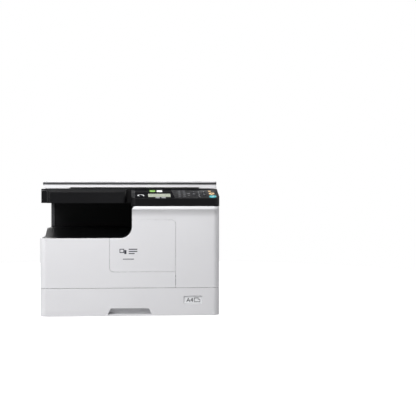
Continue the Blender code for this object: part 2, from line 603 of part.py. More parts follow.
def make_platen_cover(white, mat_white, steel):
    """Platen cover with a groove round its edge and a finger recess in front, on two pin hinges."""
    def ring(inset):
        return rounded(-LID_X + inset, LID_FRONT_Y + inset, LID_X - inset, LID_BACK_Y - inset, 0.006 - inset, 3)

    groove_low, groove_high = LID_Z + LID_GROOVE[0], LID_Z + LID_GROOVE[1]
    shell = stack([(LID_Z, ring(0.0)), (LID_Z + 0.004, ring(0.0)),
                   (groove_low - LID_GROOVE_SLANT, ring(LID_TAPER)),
                   (groove_low, ring(LID_GROOVE_DEPTH)),
                   (groove_high, ring(LID_GROOVE_DEPTH)), (groove_high, ring(0.0)),
                   (HEIGHT - 0.001, ring(0.0)), (HEIGHT, ring(0.001))])
    cavity = block((-LID_X + LID_RIM, LID_FRONT_Y + LID_RIM, LID_Z - 0.01),
                   (LID_X - LID_RIM, LID_BACK_Y - LID_RIM, HEIGHT - WALL))
    notch_left, notch_right, notch_height = -SIDE + GRIP_NOTCH[0], SIDE - GRIP_NOTCH[1], GRIP_NOTCH[2]
    notch = prism([(notch_left, LID_Z - 0.001), (notch_left, LID_Z), (notch_left + notch_height, LID_Z + notch_height),
                   (notch_right, LID_Z + notch_height), (notch_right, LID_Z - 0.001)],
                  "Y", LID_FRONT_Y - 0.01, LID_FRONT_Y + LID_RIM / 2)
    hinge = (HINGE_Y, HINGE_Z)
    lugs, bores = [], []
    for middle in (-HINGE_X, HINGE_X):
        for offset in (-0.012, 0.012):
            low, high = middle + offset - SHEET, middle + offset + SHEET
            outline = arc(*hinge, HINGE_BARREL_R, -90, 90, 8)
            outline += [(LID_BACK_Y - 0.002, HINGE_Z + HINGE_BARREL_R), (LID_BACK_Y - 0.002, HINGE_Z - HINGE_BARREL_R)]
            lugs.append(prism(outline, "X", low, high))
            bores.append(rod("X", hinge, HINGE_PIN_R + TOUCH, low - 0.001, high + 0.001, 16))
        body = join(rod("X", hinge, HINGE_BARREL_R, middle - 0.0095, middle + 0.0095),
                    block((middle - 0.0095, HINGE_Y - HINGE_BARREL_R, SCAN_TOP_Z + TOUCH),
                          (middle + 0.0095, HINGE_Y + HINGE_BARREL_R, HINGE_Z)),
                    rod("X", hinge, HINGE_PIN_R, middle - 0.017, middle + 0.017, 16))
        side = "left" if middle < 0 else "right"
        part(f"lid_hinge_{side}", body, steel, (middle, *hinge), smooth=True)
    lid = cut(join(cut(shell, cavity, notch), *lugs), *bores)
    part("platen_cover", lid, white, (0.0, *hinge))

    play = TOUCH
    mat = prism(rounded(-LID_X + LID_RIM + play, LID_FRONT_Y + LID_RIM + play, LID_X - LID_RIM - play,
                        LID_BACK_Y - LID_RIM - play, 0.002, 2), "Z", LID_Z - 0.0009, LID_Z + 0.0075)
    part("platen_mat", mat, mat_white, (0.0, *hinge))


def make_panel(black, key_dark, key_teal, key_amber):
    """Sloping control panel, a hollow wedge open below, with its keys."""
    def wedge(inset):
        front, back, left, right = PANEL_FRONT_Y + inset, PANEL_BACK_Y - inset, PANEL_LEFT + inset, SIDE - inset
        drop = inset / cos(SLOPE_ANGLE)
        slope = PANEL_RISE / PANEL_DEPTH
        bottom = PANEL_Z - (0.01 if inset else 0.0)
        profile = [(front, bottom), (front, SLOPE_Z + inset * slope - drop),
                   (back, SLOPE_Z + (back - PANEL_FRONT_Y) * slope - drop), (back, bottom)]
        radius = PANEL_CORNER_R - inset
        plan = [(right, back), (left, back)] + arc(left + radius, front + radius, radius, 180, 270, 5)
        plan += arc(right - radius, front + radius, radius, 270, 360, 5)
        return common(prism(profile, "X", left, right), prism(plan, "Z", bottom - 0.01, HEIGHT))

    keys = []
    labels = [("1", 0, 0), ("2", 1, 0), ("3", 2, 0), ("4", 0, 1), ("5", 1, 1), ("6", 2, 1),
              ("7", 0, 2), ("8", 1, 2), ("9", 2, 2), ("0", 1, 3)]
    for label, column, row in labels:
        keys.append((f"key_{label}", SIDE - KEY_COLUMNS[column], KEY_ROWS[row], None, key_dark))
    keys += [("start_key", SIDE - START_KEY[0], START_KEY[1], START_KEY[2], key_teal),
             ("stop_key", SIDE - STOP_KEY[0], STOP_KEY[1], STOP_KEY[2], key_amber),
             ("reset_key", SIDE - RESET_KEY[0], RESET_KEY[1], RESET_KEY[2], key_amber)]

    def key_outline(x, v, radius, grow):
        if radius:
            return circle(x, v, radius + grow, 24)
        half_x, half_v = KEY_SIZE[0] / 2 + grow, KEY_SIZE[1] / 2 + grow
        return rounded(x - half_x, v - half_v, x + half_x, v + half_v, 0.0025 + grow, 3)

    holes = []
    for name, x, v, radius, material in keys:
        crown = 0.0006
        body = stack([(-KEY_DEEP, key_outline(x, v, radius, 0.0)),
                      (KEY_PROUD - crown, key_outline(x, v, radius, 0.0)),
                      (KEY_PROUD, key_outline(x, v, radius, -crown))])
        place = on_slope(block((x - 0.001, v - 0.001, -0.001), (x + 0.001, v + 0.001, 0.001)))
        origin = sum((vert.co for vert in place.verts), Vector()) / len(place.verts)
        place.free()
        part(name, on_slope(body), material, origin, smooth=True)
        holes.append(on_slope(prism(key_outline(x, v, radius, KEY_CLEAR), "Z", -0.012, 0.01)))
    part("panel_housing", cut(wedge(0.0), wedge(WALL), *holes), black)


def make_right_door(white, black):
    """Side door over the paper path, with the bypass recess and the transfer roller's arms."""
    pivot_x, pivot_y = SIDE_DOOR_PIVOT
    inner_x, outer_x = SIDE - SIDE_DOOR_THICK, SIDE
    bottom, top = DECK_Z, COVER_TOP_Z
    front_y = SIDE_Y[0]
    step_y = pivot_y - 0.015
    plan = [(inner_x, front_y), (outer_x, front_y)] + arc(pivot_x, pivot_y, DOOR_PIVOT_IN, 0, 180, 8)
    plan += [(pivot_x - DOOR_PIVOT_IN, step_y), (inner_x, step_y)]
    floor_x = SIDE - BYPASS_FLOOR
    y_low, y_high = PAPER_Y - BYPASS_HALF, PAPER_Y + BYPASS_HALF
    edge = 0.008
    recess = block((floor_x, y_low, BYPASS_BOTTOM), (outer_x + 0.01, y_high, BYPASS_TOP))
    slot_half = PAPER_HALF + 0.004
    slot = block((inner_x - 0.01, PAPER_Y - slot_half, PAPER_SLOT[0]), (outer_x, PAPER_Y + slot_half, PAPER_SLOT[1]))
    inside_y = (front_y + edge, step_y - edge)
    shallow = block((inner_x - 0.01, inside_y[0], bottom + edge), (floor_x - WALL, inside_y[1], top - edge))
    deep_top = block((inner_x - 0.01, inside_y[0], BYPASS_TOP + WALL), (outer_x - WALL, inside_y[1], top - edge))
    deep_low = block((inner_x - 0.01, inside_y[0], bottom + edge), (outer_x - WALL, inside_y[1], BYPASS_BOTTOM - WALL))
    shell = cut(prism(plan, "Z", bottom, top), recess, slot, shallow, deep_top, deep_low)

    axis_x, axis_z = TRANSFER_AXIS
    arm_r = SHAFT_R + TOUCH + 0.0025
    arms, bores = [], []
    for y in (PAPER_Y - BYPASS_HALF + 0.010, PAPER_Y + BYPASS_HALF - 0.004 - ARM_THICK):
        outline = arc(axis_x, axis_z, arm_r, 90, 270, 8)
        outline += [(floor_x - WALL / 2, axis_z - arm_r), (floor_x - WALL / 2, axis_z + arm_r)]
        arms.append(prism(outline, "Y", y, y + ARM_THICK))
        bores.append(rod("Y", (axis_x, axis_z), SHAFT_R + TOUCH, y - 0.001, y + ARM_THICK + 0.001, 16))
    part("right_door", cut(join(shell, *arms), *bores), white, (pivot_x, pivot_y, bottom))

    roller_low, roller_high = PAPER_Y - BYPASS_HALF + 0.010, PAPER_Y + BYPASS_HALF - 0.004
    transfer = join(rod("Y", TRANSFER_AXIS, TRANSFER_R, roller_low + ARM_THICK + 0.001, roller_high - ARM_THICK - 0.001),
                    rod("Y", TRANSFER_AXIS, SHAFT_R, roller_low - 0.001, roller_high + 0.001, 16))
    part("transfer_roller", transfer, black, (axis_x, PAPER_Y, axis_z), smooth=True)

    tray_x, tray_z = BYPASS_PIVOT
    half_thick = BYPASS_THICK / 2
    leaf_y = (y_low + 0.001, y_high - 0.001)
    leaf_top = BYPASS_TOP - 0.001
    profile = arc(tray_x, tray_z, half_thick, 180, 360, 8) + [(tray_x + half_thick, leaf_top),
                                                              (tray_x - half_thick + 0.002, leaf_top),
                                                              (tray_x - half_thick, leaf_top - 0.004)]
    leaf = prism(profile, "Y", *leaf_y)
    weight_saving = block((tray_x - 0.01, leaf_y[0] + 0.006, tray_z + 0.060),
                          (tray_x + half_thick - WALL, leaf_y[1] - 0.006, leaf_top - 0.010))
    finger_pull = block((tray_x + half_thick - 0.005, PAPER_Y - 0.040, leaf_top - 0.014),
                        (SIDE + 0.01, PAPER_Y + 0.040, leaf_top - 0.004))
    part("bypass_tray", cut(leaf, weight_saving, finger_pull), white, (tray_x, PAPER_Y, tray_z))

    guide_x = (tray_x - half_thick - TOUCH - BYPASS_GUIDE[0], tray_x - half_thick - TOUCH)
    guide_z = (tray_z + 0.004, tray_z + 0.004 + BYPASS_GUIDE[1])
    for name, y in (("bypass_fence_front", PAPER_Y - PAPER_HALF), ("bypass_fence_rear", PAPER_Y + PAPER_HALF)):
        y_range = (y - FENCE_THICK, y) if y < PAPER_Y else (y, y + FENCE_THICK)
        guide = prism([(guide_x[1], guide_z[0]), (guide_x[1], guide_z[1]), (guide_x[0] + 0.004, guide_z[1]),
                       (guide_x[0], guide_z[1] - 0.006), (guide_x[0], guide_z[0])], "Y", *y_range)
        part(name, guide, black, (guide_x[1], y, guide_z[0]))


def make_rollers(drum_green, rubber, steel_blue, grey):
    """Shafts between the frame plates; each is a core with its own sleeve or tyres."""
    ends = (FRAME_FRONT_Y - SHEET - 0.003, FRAME_REAR_Y + SHEET + 0.003)
    sleeve = (PAPER_Y - PAPER_HALF - 0.006, PAPER_Y + PAPER_HALF + 0.006)

    def roller(name, axis, radius, stretches, material):
        core = rod("Y", axis, SHAFT_R, *ends, 16)
        tyres = [rod("Y", axis, radius, *stretch) for stretch in stretches]
        part(name, join(core, *tyres), material, (axis[0], PAPER_Y, axis[1]), smooth=True)

    roller("drum", DRUM_AXIS, DRUM_R, [sleeve], drum_green)
    roller("hot_roller", HOT_AXIS, HOT_R, [sleeve], steel_blue)
    roller("pressure_roller", PRESSURE_AXIS, PRESSURE_R, [sleeve], rubber)
    roller("feed_roller", FEED_AXIS, FEED_R, [(PAPER_Y - 0.025, PAPER_Y + 0.025)], rubber)
    tyres = [(PAPER_Y + middle - 0.012, PAPER_Y + middle + 0.012) for middle in (-0.095, -0.032, 0.032, 0.095)]
    roller("exit_roller", EXIT_AXIS, EXIT_R, tyres, rubber)

    x, z = BOTTLE_AXIS
    front_y, back_y = FRONT + BOTTLE_FRONT, FRAME_REAR_Y - 0.001
    neck_y = back_y - 0.020
    body = rod("Y", BOTTLE_AXIS, BOTTLE_R, front_y + 0.012, neck_y, 32)
    collar = rod("Y", BOTTLE_AXIS, BOTTLE_R - 0.008, front_y, front_y + 0.013, 32)
    neck = rod("Y", BOTTLE_AXIS, 0.014, neck_y - 0.001, back_y, 20)
    grip = block((x - 0.004, front_y - 0.006, z - 0.026), (x + 0.004, front_y + 0.001, z + 0.026))
    part("toner_bottle", join(body, collar, neck, grip), grey, (x, PAPER_Y, z), smooth=True)


def make_inside(grey, steel, board_green):
    """Laser unit under the bay, main motor and controller board behind the rear frame plate."""
    top = BAY_Z - 0.030
    low, high = (-SIDE + 0.0635, PAPER_Y - 0.115, top - 0.045), (-0.010, PAPER_Y + 0.145, top)
    laser = cut(block(low, high), block((high[0] - 0.012, PAPER_Y - 0.105, top - 0.030),
                                        (high[0] + 0.01, PAPER_Y + 0.105, top - 0.015)))
    part("laser_unit", laser, grey)

    axis = (0.150, TRAY_SEAM_Z + 0.0675)
    face_y = FRAME_REAR_Y + SHEET + TOUCH
    motor = join(rod("Y", axis, 0.030, face_y + 0.006, face_y + 0.036),
                 prism(rounded(axis[0] - 0.034, axis[1] - 0.034, axis[0] + 0.034, axis[1] + 0.034, 0.008),
                       "Y", face_y, face_y + 0.007),
                 rod("Y", axis, 0.010, face_y + 0.035, face_y + 0.040, 16))
    part("main_motor", motor, steel)

    board_y = FRAME_REAR_Y + 0.034
    low_z, high_z = TRAY_SEAM_Z + 0.0175, BAY_Z - 0.0155
    left, right = -SIDE + 0.0435, -0.020
    chips = [block((left + (right - left) * u - 0.014, board_y + 0.001, low_z + (high_z - low_z) * v - 0.012),
                   (left + (right - left) * u + 0.014, board_y + 0.0048, low_z + (high_z - low_z) * v + 0.012))
             for u, v in ((0.25, 0.65), (0.55, 0.35), (0.80, 0.70))]
    plate = block((left, board_y, low_z), (right, board_y + 0.0016, high_z))
    part("controller_board", join(plate, *chips), board_green)


def make_inlet_and_switch(black):
    half_x, half_z = INLET_SIZE[0] / 2, INLET_SIZE[1] / 2
    front_y, back_y = BACK - 0.030, BACK - 0.0005
    x, z = INLET
    socket = block((x - half_x, front_y, z - half_z), (x + half_x, back_y, z + half_z))
    mouth = prism([(x - half_x + 0.002, z - half_z + 0.0025), (x + half_x - 0.002, z - half_z + 0.0025),
                   (x + half_x - 0.002, z + half_z - 0.007), (x + half_x - 0.006, z + half_z - 0.0025),
                   (x - half_x + 0.006, z + half_z - 0.0025), (x - half_x + 0.002, z + half_z - 0.007)],
                  "Y", back_y - 0.016, back_y + 0.01)
    pins = [block((x + dx - 0.001, back_y - 0.018, z + dz - 0.002), (x + dx + 0.001, back_y - 0.004, z + dz + 0.002))
            for dx, dz in ((-0.007, -0.002), (0.0, 0.002), (0.007, -0.002))]
    part("power_inlet", join(cut(socket, mouth), *pins), black)

    half_y, half_z = SWITCH_SIZE[0] / 2, SWITCH_SIZE[1] / 2
    axis = (-SIDE + 0.006, SWITCH[1])
    outer, inner = -SIDE + 0.0006, -SIDE + 0.0095
    rocker = [(outer, axis[1] + half_z - 0.001), (outer + 0.0016, axis[1]), (outer, axis[1] - half_z + 0.001),
              (outer + 0.002, axis[1] - half_z + 0.0012), (inner, axis[1] - 0.006), (inner, axis[1] + 0.006),
              (outer + 0.002, axis[1] + half_z - 0.0012)]
    part("power_switch", prism(rocker, "Y", SWITCH_Y - half_y, SWITCH_Y + half_y), black,
         (axis[0], SWITCH_Y, axis[1]))


def make_paper_tray(white, grey, steel, dark):
    """Drawer: front with its grip and size window, bin, lift plate and the three paper guides."""
    bottom, top = 0.002, TRAY_SEAM_Z - SEAM
    skin = front_skin(None, None, [(bottom, 0.0), (top, 0.0)])
    left, right, slant, low, high = GRIP
    back_y = FACE_Y + GRIP_DEPTH + WALL
    pocket_block = block((left - WALL, FACE_Y + WALL / 2, bottom), (right + WALL, back_y, high + WALL))
    window_x = (SIDE - SIZE_WINDOW[0], SIDE - SIZE_WINDOW[1])
    window_block = block((window_x[0] - WALL, FACE_Y + WALL / 2, SIZE_WINDOW[2] - WALL),
                         (window_x[1] + WALL, FACE_Y + SIZE_WINDOW_DEPTH + WALL, SIZE_WINDOW[3] + WALL))
    bin_front_y = FRONT + BIN_FRONT
    ribs = [block((x - WALL / 2, FACE_Y + WALL / 2, BIN_BOTTOM), (x + WALL / 2, bin_front_y - TOUCH, 0.060))
            for x in (-0.155, 0.155)]
    grip = prism([(left, low), (right, low), (right - slant, high), (left + slant, high)],
                 "Y", FACE_Y - 0.01, FACE_Y + GRIP_DEPTH)
    window = prism(rounded(window_x[0], SIZE_WINDOW[2], window_x[1], SIZE_WINDOW[3], 0.004),
                   "Y", FACE_Y - 0.01, FACE_Y + SIZE_WINDOW_DEPTH)
    part("tray_front", cut(join(skin, pocket_block, window_block, *ribs), grip, window), white,
         (0.0, FACE_Y, bottom))

    bin_x = SIDE - BIN_SIDE
    bin_y = (bin_front_y, bin_front_y + BIN_LENGTH)
    tub = cut(block((-bin_x, bin_y[0], BIN_BOTTOM), (bin_x, bin_y[1], BIN_TOP)),
              block((-bin_x + BIN_WALL, bin_y[0] + BIN_WALL, BIN_BOTTOM + BIN_WALL),
                    (bin_x - BIN_WALL, bin_y[1] - BIN_WALL, BIN_TOP + 0.01)),
              block((bin_x - 0.01, PAPER_Y - PAPER_HALF, BIN_TOP - 0.008),
                    (bin_x + 0.01, PAPER_Y + PAPER_HALF, BIN_TOP + 0.01)))
    part("tray_bin", tub, grey, (0.0, bin_y[0], BIN_BOTTOM))

    plate_x = (PLATE_HINGE_X, SIDE - PLATE_END_IN)
    fence_cut = 0.008
    inner = PAPER_HALF - FENCE_TRAVEL - 0.006
    plate = cut(
        block((plate_x[0], PAPER_Y - PLATE_HALF, PLATE_Z), (plate_x[1], PAPER_Y + PLATE_HALF, PLATE_Z + PLATE_THICK)),
        block((FENCE_X[0] - fence_cut, PAPER_Y - PAPER_HALF, 0.0), (FENCE_X[1] + fence_cut, PAPER_Y - inner, 0.03)),
        block((FENCE_X[0] - fence_cut, PAPER_Y + inner, 0.0), (FENCE_X[1] + fence_cut, PAPER_Y + PAPER_HALF, 0.03)),
        block((-SIDE + END_FENCE_IN - 0.009, PAPER_Y - 0.032, 0.0),
              (-SIDE + END_FENCE_IN + END_FENCE_TRAVEL + 0.012, PAPER_Y + 0.032, 0.03)),
    )
    part("tray_plate", plate, steel, (PLATE_HINGE_X, PAPER_Y, PLATE_Z + PLATE_THICK / 2))

    fence_z = (BIN_BOTTOM + BIN_WALL + RUNNING, FENCE_TOP)
    for name, sign in (("tray_fence_front", -1), ("tray_fence_rear", 1)):
        y_range = sorted((PAPER_Y + sign * PAPER_HALF, PAPER_Y + sign * (PAPER_HALF + FENCE_THICK)))
        upright = prism([(FENCE_X[0], fence_z[0]), (FENCE_X[1], fence_z[0]), (FENCE_X[1], fence_z[1] - 0.015),
                         (FENCE_X[1] - 0.015, fence_z[1]), (FENCE_X[0] + 0.015, fence_z[1]),
                         (FENCE_X[0], fence_z[1] - 0.015)], "Y", *y_range)
        part(name, upright, dark, (FENCE_X[0], PAPER_Y + sign * PAPER_HALF, fence_z[0]))
    end_x = -SIDE + END_FENCE_IN
    end_fence = prism([(PAPER_Y - 0.026, fence_z[0]), (PAPER_Y + 0.026, fence_z[0]), (PAPER_Y + 0.018, fence_z[1]),
                       (PAPER_Y - 0.018, fence_z[1])], "X", end_x, end_x + FENCE_THICK)
    part("tray_end_fence", end_fence, dark, (end_x, PAPER_Y, fence_z[0]))


def make_copier():
    clear_scene()
    white = finish("cool_white_plastic", (0.80, 0.81, 0.83), 0.42)
    mat_white = finish("mat_white", (0.88, 0.88, 0.87), 0.70)
    black = finish("black_plastic", (0.018, 0.018, 0.020), 0.34)
    grey = finish("grey_plastic", (0.32, 0.33, 0.35), 0.45)
    dark = finish("dark_grey_plastic", (0.06, 0.06, 0.065), 0.45)
    rubber = finish("rubber", (0.03, 0.03, 0.03), 0.75)
    steel = finish("zinc_steel", (0.62, 0.63, 0.64), 0.35, 1.0)
    coated = finish("coated_sleeve", (0.10, 0.14, 0.24), 0.30)
    drum_green = finish("drum_coating", (0.05, 0.30, 0.22), 0.12)
    board_green = finish("circuit_board", (0.02, 0.20, 0.07), 0.40)
    glass_clear = finish("platen_glass", (0.72, 0.80, 0.78), 0.03)
    key_teal = finish("teal_key", (0.08, 0.42, 0.46), 0.30)
    key_amber = finish("amber_key", (0.86, 0.55, 0.25), 0.35)

    make_frame(steel)
    make_feet(rubber)
    make_front_covers(white)
    make_toner_door(white)
    make_side_covers(white)
    make_rear_cover(white)
    make_bay(black)
    make_scanner(black, glass_clear, steel)
    make_platen_cover(white, mat_white, steel)
    make_panel(black, dark, key_teal, key_amber)
    make_right_door(white, dark)
    make_rollers(drum_green, rubber, coated, grey)
    make_inside(grey, steel, board_green)
    make_inlet_and_switch(black)
    make_paper_tray(white, grey, steel, dark)


make_copier()
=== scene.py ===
from math import atan2, pi, radians

import bmesh
import bpy
from mathutils import Matrix, Vector


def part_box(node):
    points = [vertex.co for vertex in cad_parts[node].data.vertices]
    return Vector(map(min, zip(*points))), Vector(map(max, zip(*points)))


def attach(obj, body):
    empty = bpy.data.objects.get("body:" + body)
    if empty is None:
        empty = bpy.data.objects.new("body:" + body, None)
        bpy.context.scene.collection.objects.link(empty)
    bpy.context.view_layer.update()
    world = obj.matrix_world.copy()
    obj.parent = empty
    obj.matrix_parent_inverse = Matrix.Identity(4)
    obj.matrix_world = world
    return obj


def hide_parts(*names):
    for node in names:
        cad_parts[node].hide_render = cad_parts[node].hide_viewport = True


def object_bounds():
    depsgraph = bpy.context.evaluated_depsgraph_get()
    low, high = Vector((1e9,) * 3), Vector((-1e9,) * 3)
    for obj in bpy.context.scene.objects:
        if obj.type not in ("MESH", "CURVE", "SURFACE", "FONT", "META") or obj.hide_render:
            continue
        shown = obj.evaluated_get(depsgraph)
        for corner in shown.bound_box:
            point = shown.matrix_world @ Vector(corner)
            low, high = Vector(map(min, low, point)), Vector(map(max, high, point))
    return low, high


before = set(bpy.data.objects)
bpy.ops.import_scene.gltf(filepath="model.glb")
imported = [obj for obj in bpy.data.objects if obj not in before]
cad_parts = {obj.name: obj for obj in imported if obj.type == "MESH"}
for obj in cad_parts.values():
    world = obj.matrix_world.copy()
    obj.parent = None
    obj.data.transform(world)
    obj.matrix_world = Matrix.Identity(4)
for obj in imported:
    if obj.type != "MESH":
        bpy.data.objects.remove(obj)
cad_low, cad_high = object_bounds()

# ---------------------------------------------------------------------------------------------
# Studio: the machine stands on a plain pale floor, seen nearly square from the front at the
# height of its platen. One large soft light hangs above it and to the left, a second fills from
# the front, and weaker ones at the sides and behind show the edges.

camera = bpy.data.objects.new("camera", bpy.data.cameras.new("camera"))
camera.data.lens = 73.05
camera.data.shift_x = 0.06
camera.location = (0.0, cad_low.y - 2.75, 0.408)
camera.rotation_euler = (radians(90 - 1.05), 0.0, radians(-3.58))
bpy.context.scene.collection.objects.link(camera)
bpy.context.scene.camera = camera
bpy.context.scene.view_settings.view_transform = "Standard"


def softbox(name, place, target, width, height, power, tint=(1.0, 1.0, 1.0)):
    """A rectangular area light at a place, facing a target."""
    light = bpy.data.lights.new(name, "AREA")
    light.shape = "RECTANGLE"
    light.size, light.size_y = width, height
    light.energy = power
    light.color = tint
    lamp = bpy.data.objects.new(name, light)
    lamp.location = place
    lamp.rotation_euler = (Vector(target) - Vector(place)).to_track_quat("-Z", "Y").to_euler()
    bpy.context.scene.collection.objects.link(lamp)
    return lamp


softbox("top_light", (-0.55, -0.95, 1.7), (-0.05, -0.1, 0.25), 1.3, 0.8, 32)
front_light = softbox("front_light", (-1.15, -2.5, 1.6), (-0.05, 0.0, 0.28), 1.0, 0.8, 32,
                      (1.0, 0.992, 0.992))
front_light.visible_glossy = False
softbox("left_light", (-2.4, 0.6, 1.2), (0.0, 0.0, 0.25), 1.4, 1.2, 14)
softbox("right_light", (2.4, 0.6, 1.2), (0.0, 0.0, 0.25), 1.4, 1.2, 24)
softbox("left_strip", (-1.9, -1.7, 0.7), (0.0, -0.1, 0.35), 0.22, 1.2, 3)
softbox("right_strip", (1.9, -1.7, 0.7), (0.0, -0.1, 0.35), 0.22, 1.2, 2)
softbox("back_light", (0.2, 2.9, 1.0), (0.0, 0.0, 0.25), 2.0, 1.1, 34)

world = bpy.data.worlds.new("studio")
world.use_nodes = True
sky = world.node_tree.nodes["Background"]
sky.inputs["Color"].default_value = (0.20, 0.20, 0.202, 1.0)
backdrop = world.node_tree.nodes.new("ShaderNodeBackground")
backdrop.inputs["Color"].default_value = (1.0, 1.0, 1.0, 1.0)
seen = world.node_tree.nodes.new("ShaderNodeLightPath")
choice = world.node_tree.nodes.new("ShaderNodeMixShader")
world.node_tree.links.new(seen.outputs["Is Camera Ray"], choice.inputs["Fac"])
world.node_tree.links.new(sky.outputs["Background"], choice.inputs[1])
world.node_tree.links.new(backdrop.outputs["Background"], choice.inputs[2])
world.node_tree.links.new(choice.outputs["Shader"], world.node_tree.nodes["World Output"].inputs["Surface"])
bpy.context.scene.world = world

floor_paint = bpy.data.materials.new("floor_paint")
floor_paint.use_nodes = True
paint = floor_paint.node_tree.nodes["Principled BSDF"]
paint.inputs["Base Color"].default_value = (0.36, 0.36, 0.36, 1.0)
paint.inputs["Roughness"].default_value = 0.9
paint.inputs["Emission Color"].default_value = (1.0, 1.0, 1.0, 1.0)
floor_seen = floor_paint.node_tree.nodes.new("ShaderNodeLightPath")
floor_lift = floor_paint.node_tree.nodes.new("ShaderNodeMath")
floor_lift.operation = "MULTIPLY"
floor_lift.inputs[1].default_value = 0.95
floor_paint.node_tree.links.new(floor_seen.outputs["Is Camera Ray"], floor_lift.inputs[0])
floor_paint.node_tree.links.new(floor_lift.outputs["Value"], paint.inputs["Emission Strength"])
floor_disc = bmesh.new()
bmesh.ops.create_circle(floor_disc, cap_ends=True, segments=96, radius=1.9)
floor_mesh = bpy.data.meshes.new("floor")
floor_disc.to_mesh(floor_mesh)
floor_disc.free()
floor_mesh.materials.append(floor_paint)
floor = bpy.data.objects.new("floor", floor_mesh)
floor.location = (0.0, 0.0, -0.0004)
bpy.context.scene.collection.objects.link(floor)

# ---------------------------------------------------------------------------------------------
# Base pan: one pressing of zinc-plated sheet steel, closed above by the deck that carries the
# print engine. The spangle of the zinc shows as flat patches of slightly different shine.


def blank_finish(name):
    """A new material with its node tree, its shader and a pattern space in object coordinates."""
    material = bpy.data.materials.new(name)
    material.use_nodes = True
    nodes, links = material.node_tree.nodes, material.node_tree.links
    return material, nodes, links, nodes["Principled BSDF"], nodes.new("ShaderNodeTexCoord").outputs["Object"]


def noise(nodes, links, space, scale, detail=3.0, roughness=0.55):
    """A soft irregular pattern, as a factor; scale is in waves per metre."""
    texture = nodes.new("ShaderNodeTexNoise")
    texture.inputs["Scale"].default_value = scale
    texture.inputs["Detail"].default_value = detail
    texture.inputs["Roughness"].default_value = roughness
    links.new(space, texture.inputs["Vector"])
    return texture.outputs["Fac"]


def blend_colours(nodes, links, factor, stops):
    """Turns a factor into colours: stops holds (position, colour) pairs."""
    ramp = nodes.new("ShaderNodeValToRGB")
    ramp.color_ramp.elements[0].position, ramp.color_ramp.elements[1].position = stops[0][0], stops[-1][0]
    for position, _ in stops[1:-1]:
        ramp.color_ramp.elements.new(position)
    for element, (_, colour) in zip(ramp.color_ramp.elements, stops):
        element.color = (*colour, 1.0)
    links.new(factor, ramp.inputs["Fac"])
    return ramp.outputs["Color"]


def spread(nodes, links, factor, low, high):
    """Maps a pattern's middle stretch to a range of values."""
    mapped = nodes.new("ShaderNodeMapRange")
    mapped.inputs["From Min"].default_value, mapped.inputs["From Max"].default_value = 0.25, 0.75
    mapped.inputs["To Min"].default_value, mapped.inputs["To Max"].default_value = low, high
    links.new(factor, mapped.inputs["Value"])
    return mapped.outputs["Result"]


def raise_grain(nodes, links, shader, factor, depth, strength=1.0):
    """Relief from a pattern, depth in metres."""
    bump = nodes.new("ShaderNodeBump")
    bump.inputs["Distance"].default_value = depth
    bump.inputs["Strength"].default_value = strength
    links.new(factor, bump.inputs["Height"])
    links.new(bump.outputs["Normal"], shader.inputs["Normal"])


zinc, nodes, links, shader, space = blank_finish("zinc_plate")
spangle = nodes.new("ShaderNodeTexVoronoi")
spangle.inputs["Scale"].default_value = 90.0
links.new(space, spangle.inputs["Vector"])
tone = nodes.new("ShaderNodeSeparateColor")
links.new(spangle.outputs["Color"], tone.inputs["Color"])
links.new(blend_colours(nodes, links, tone.outputs["Red"],
                        [(0.0, (0.50, 0.51, 0.52)), (1.0, (0.66, 0.67, 0.68))]), shader.inputs["Base Color"])
links.new(spread(nodes, links, tone.outputs["Green"], 0.26, 0.42), shader.inputs["Roughness"])
shader.inputs["Metallic"].default_value = 1.0
raise_grain(nodes, links, shader, noise(nodes, links, space, 420.0), 0.00003)


def dress(material, *names):
    """Gives carried-over pieces their finish."""
    for name in names:
        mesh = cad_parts[name].data
        mesh.materials.clear()
        mesh.materials.append(material)


dress(zinc, "base_frame")

# ---------------------------------------------------------------------------------------------
# Rubber feet: four discs moulded in black rubber and pressed into the base pan, their lower edge
# rounded so that the machine can be pushed along a table.


def round_off(bm, radius, steps, sharp, chosen=lambda middle: True):
    """Rounds the corners of a mesh that are sharper than an angle, or those of them that are chosen."""
    corners = [edge for edge in bm.edges if edge.is_manifold and edge.calc_face_angle() > radians(sharp)
               and chosen((edge.verts[0].co + edge.verts[1].co) / 2)]
    bmesh.ops.bevel(bm, geom=corners, offset=radius, offset_type="OFFSET", affect="EDGES", segments=steps,
                    profile=0.5, material=-1, clamp_overlap=True, loop_slide=True)


def softened(name, radius, steps=3, sharp=28, rim=None):
    """A copy of a piece with its corners rounded off, those on its rim (radius, place) more than the rest."""
    bm = bmesh.new()
    bm.from_mesh(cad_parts[name].data)
    bmesh.ops.remove_doubles(bm, verts=bm.verts, dist=0.00001)
    bmesh.ops.dissolve_limit(bm, angle_limit=radians(0.5), verts=bm.verts, edges=bm.edges)
    if rim:
        round_off(bm, rim[0], 4, sharp, rim[1])
    round_off(bm, radius, steps, sharp)
    return bm


def add_piece(name, bm, material, body, stands_for=(), sharp=40):
    """A finished piece on its body, in place of the nodes that it stands for."""
    mesh = bpy.data.meshes.new(name)
    bm.to_mesh(mesh)
    bm.free()
    mesh.materials.append(material)
    mesh.shade_smooth()
    mesh.set_sharp_from_angle(angle=radians(sharp))
    item = bpy.data.objects.new(name, mesh)
    bpy.context.scene.collection.objects.link(item)
    weighted = item.modifiers.new("weighted_normals", "WEIGHTED_NORMAL")
    weighted.keep_sharp = True
    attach(item, body)
    if stands_for:
        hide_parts(*stands_for)
    return item


rubber, nodes, links, shader, space = blank_finish("black_rubber")
links.new(blend_colours(nodes, links, noise(nodes, links, space, 60.0, 5.0),
                        [(0.3, (0.016, 0.016, 0.017)), (0.7, (0.034, 0.033, 0.033))]),
          shader.inputs["Base Color"])
shader.inputs["Roughness"].default_value = 0.72
raise_grain(nodes, links, shader, noise(nodes, links, space, 1500.0, 2.0), 0.00004)

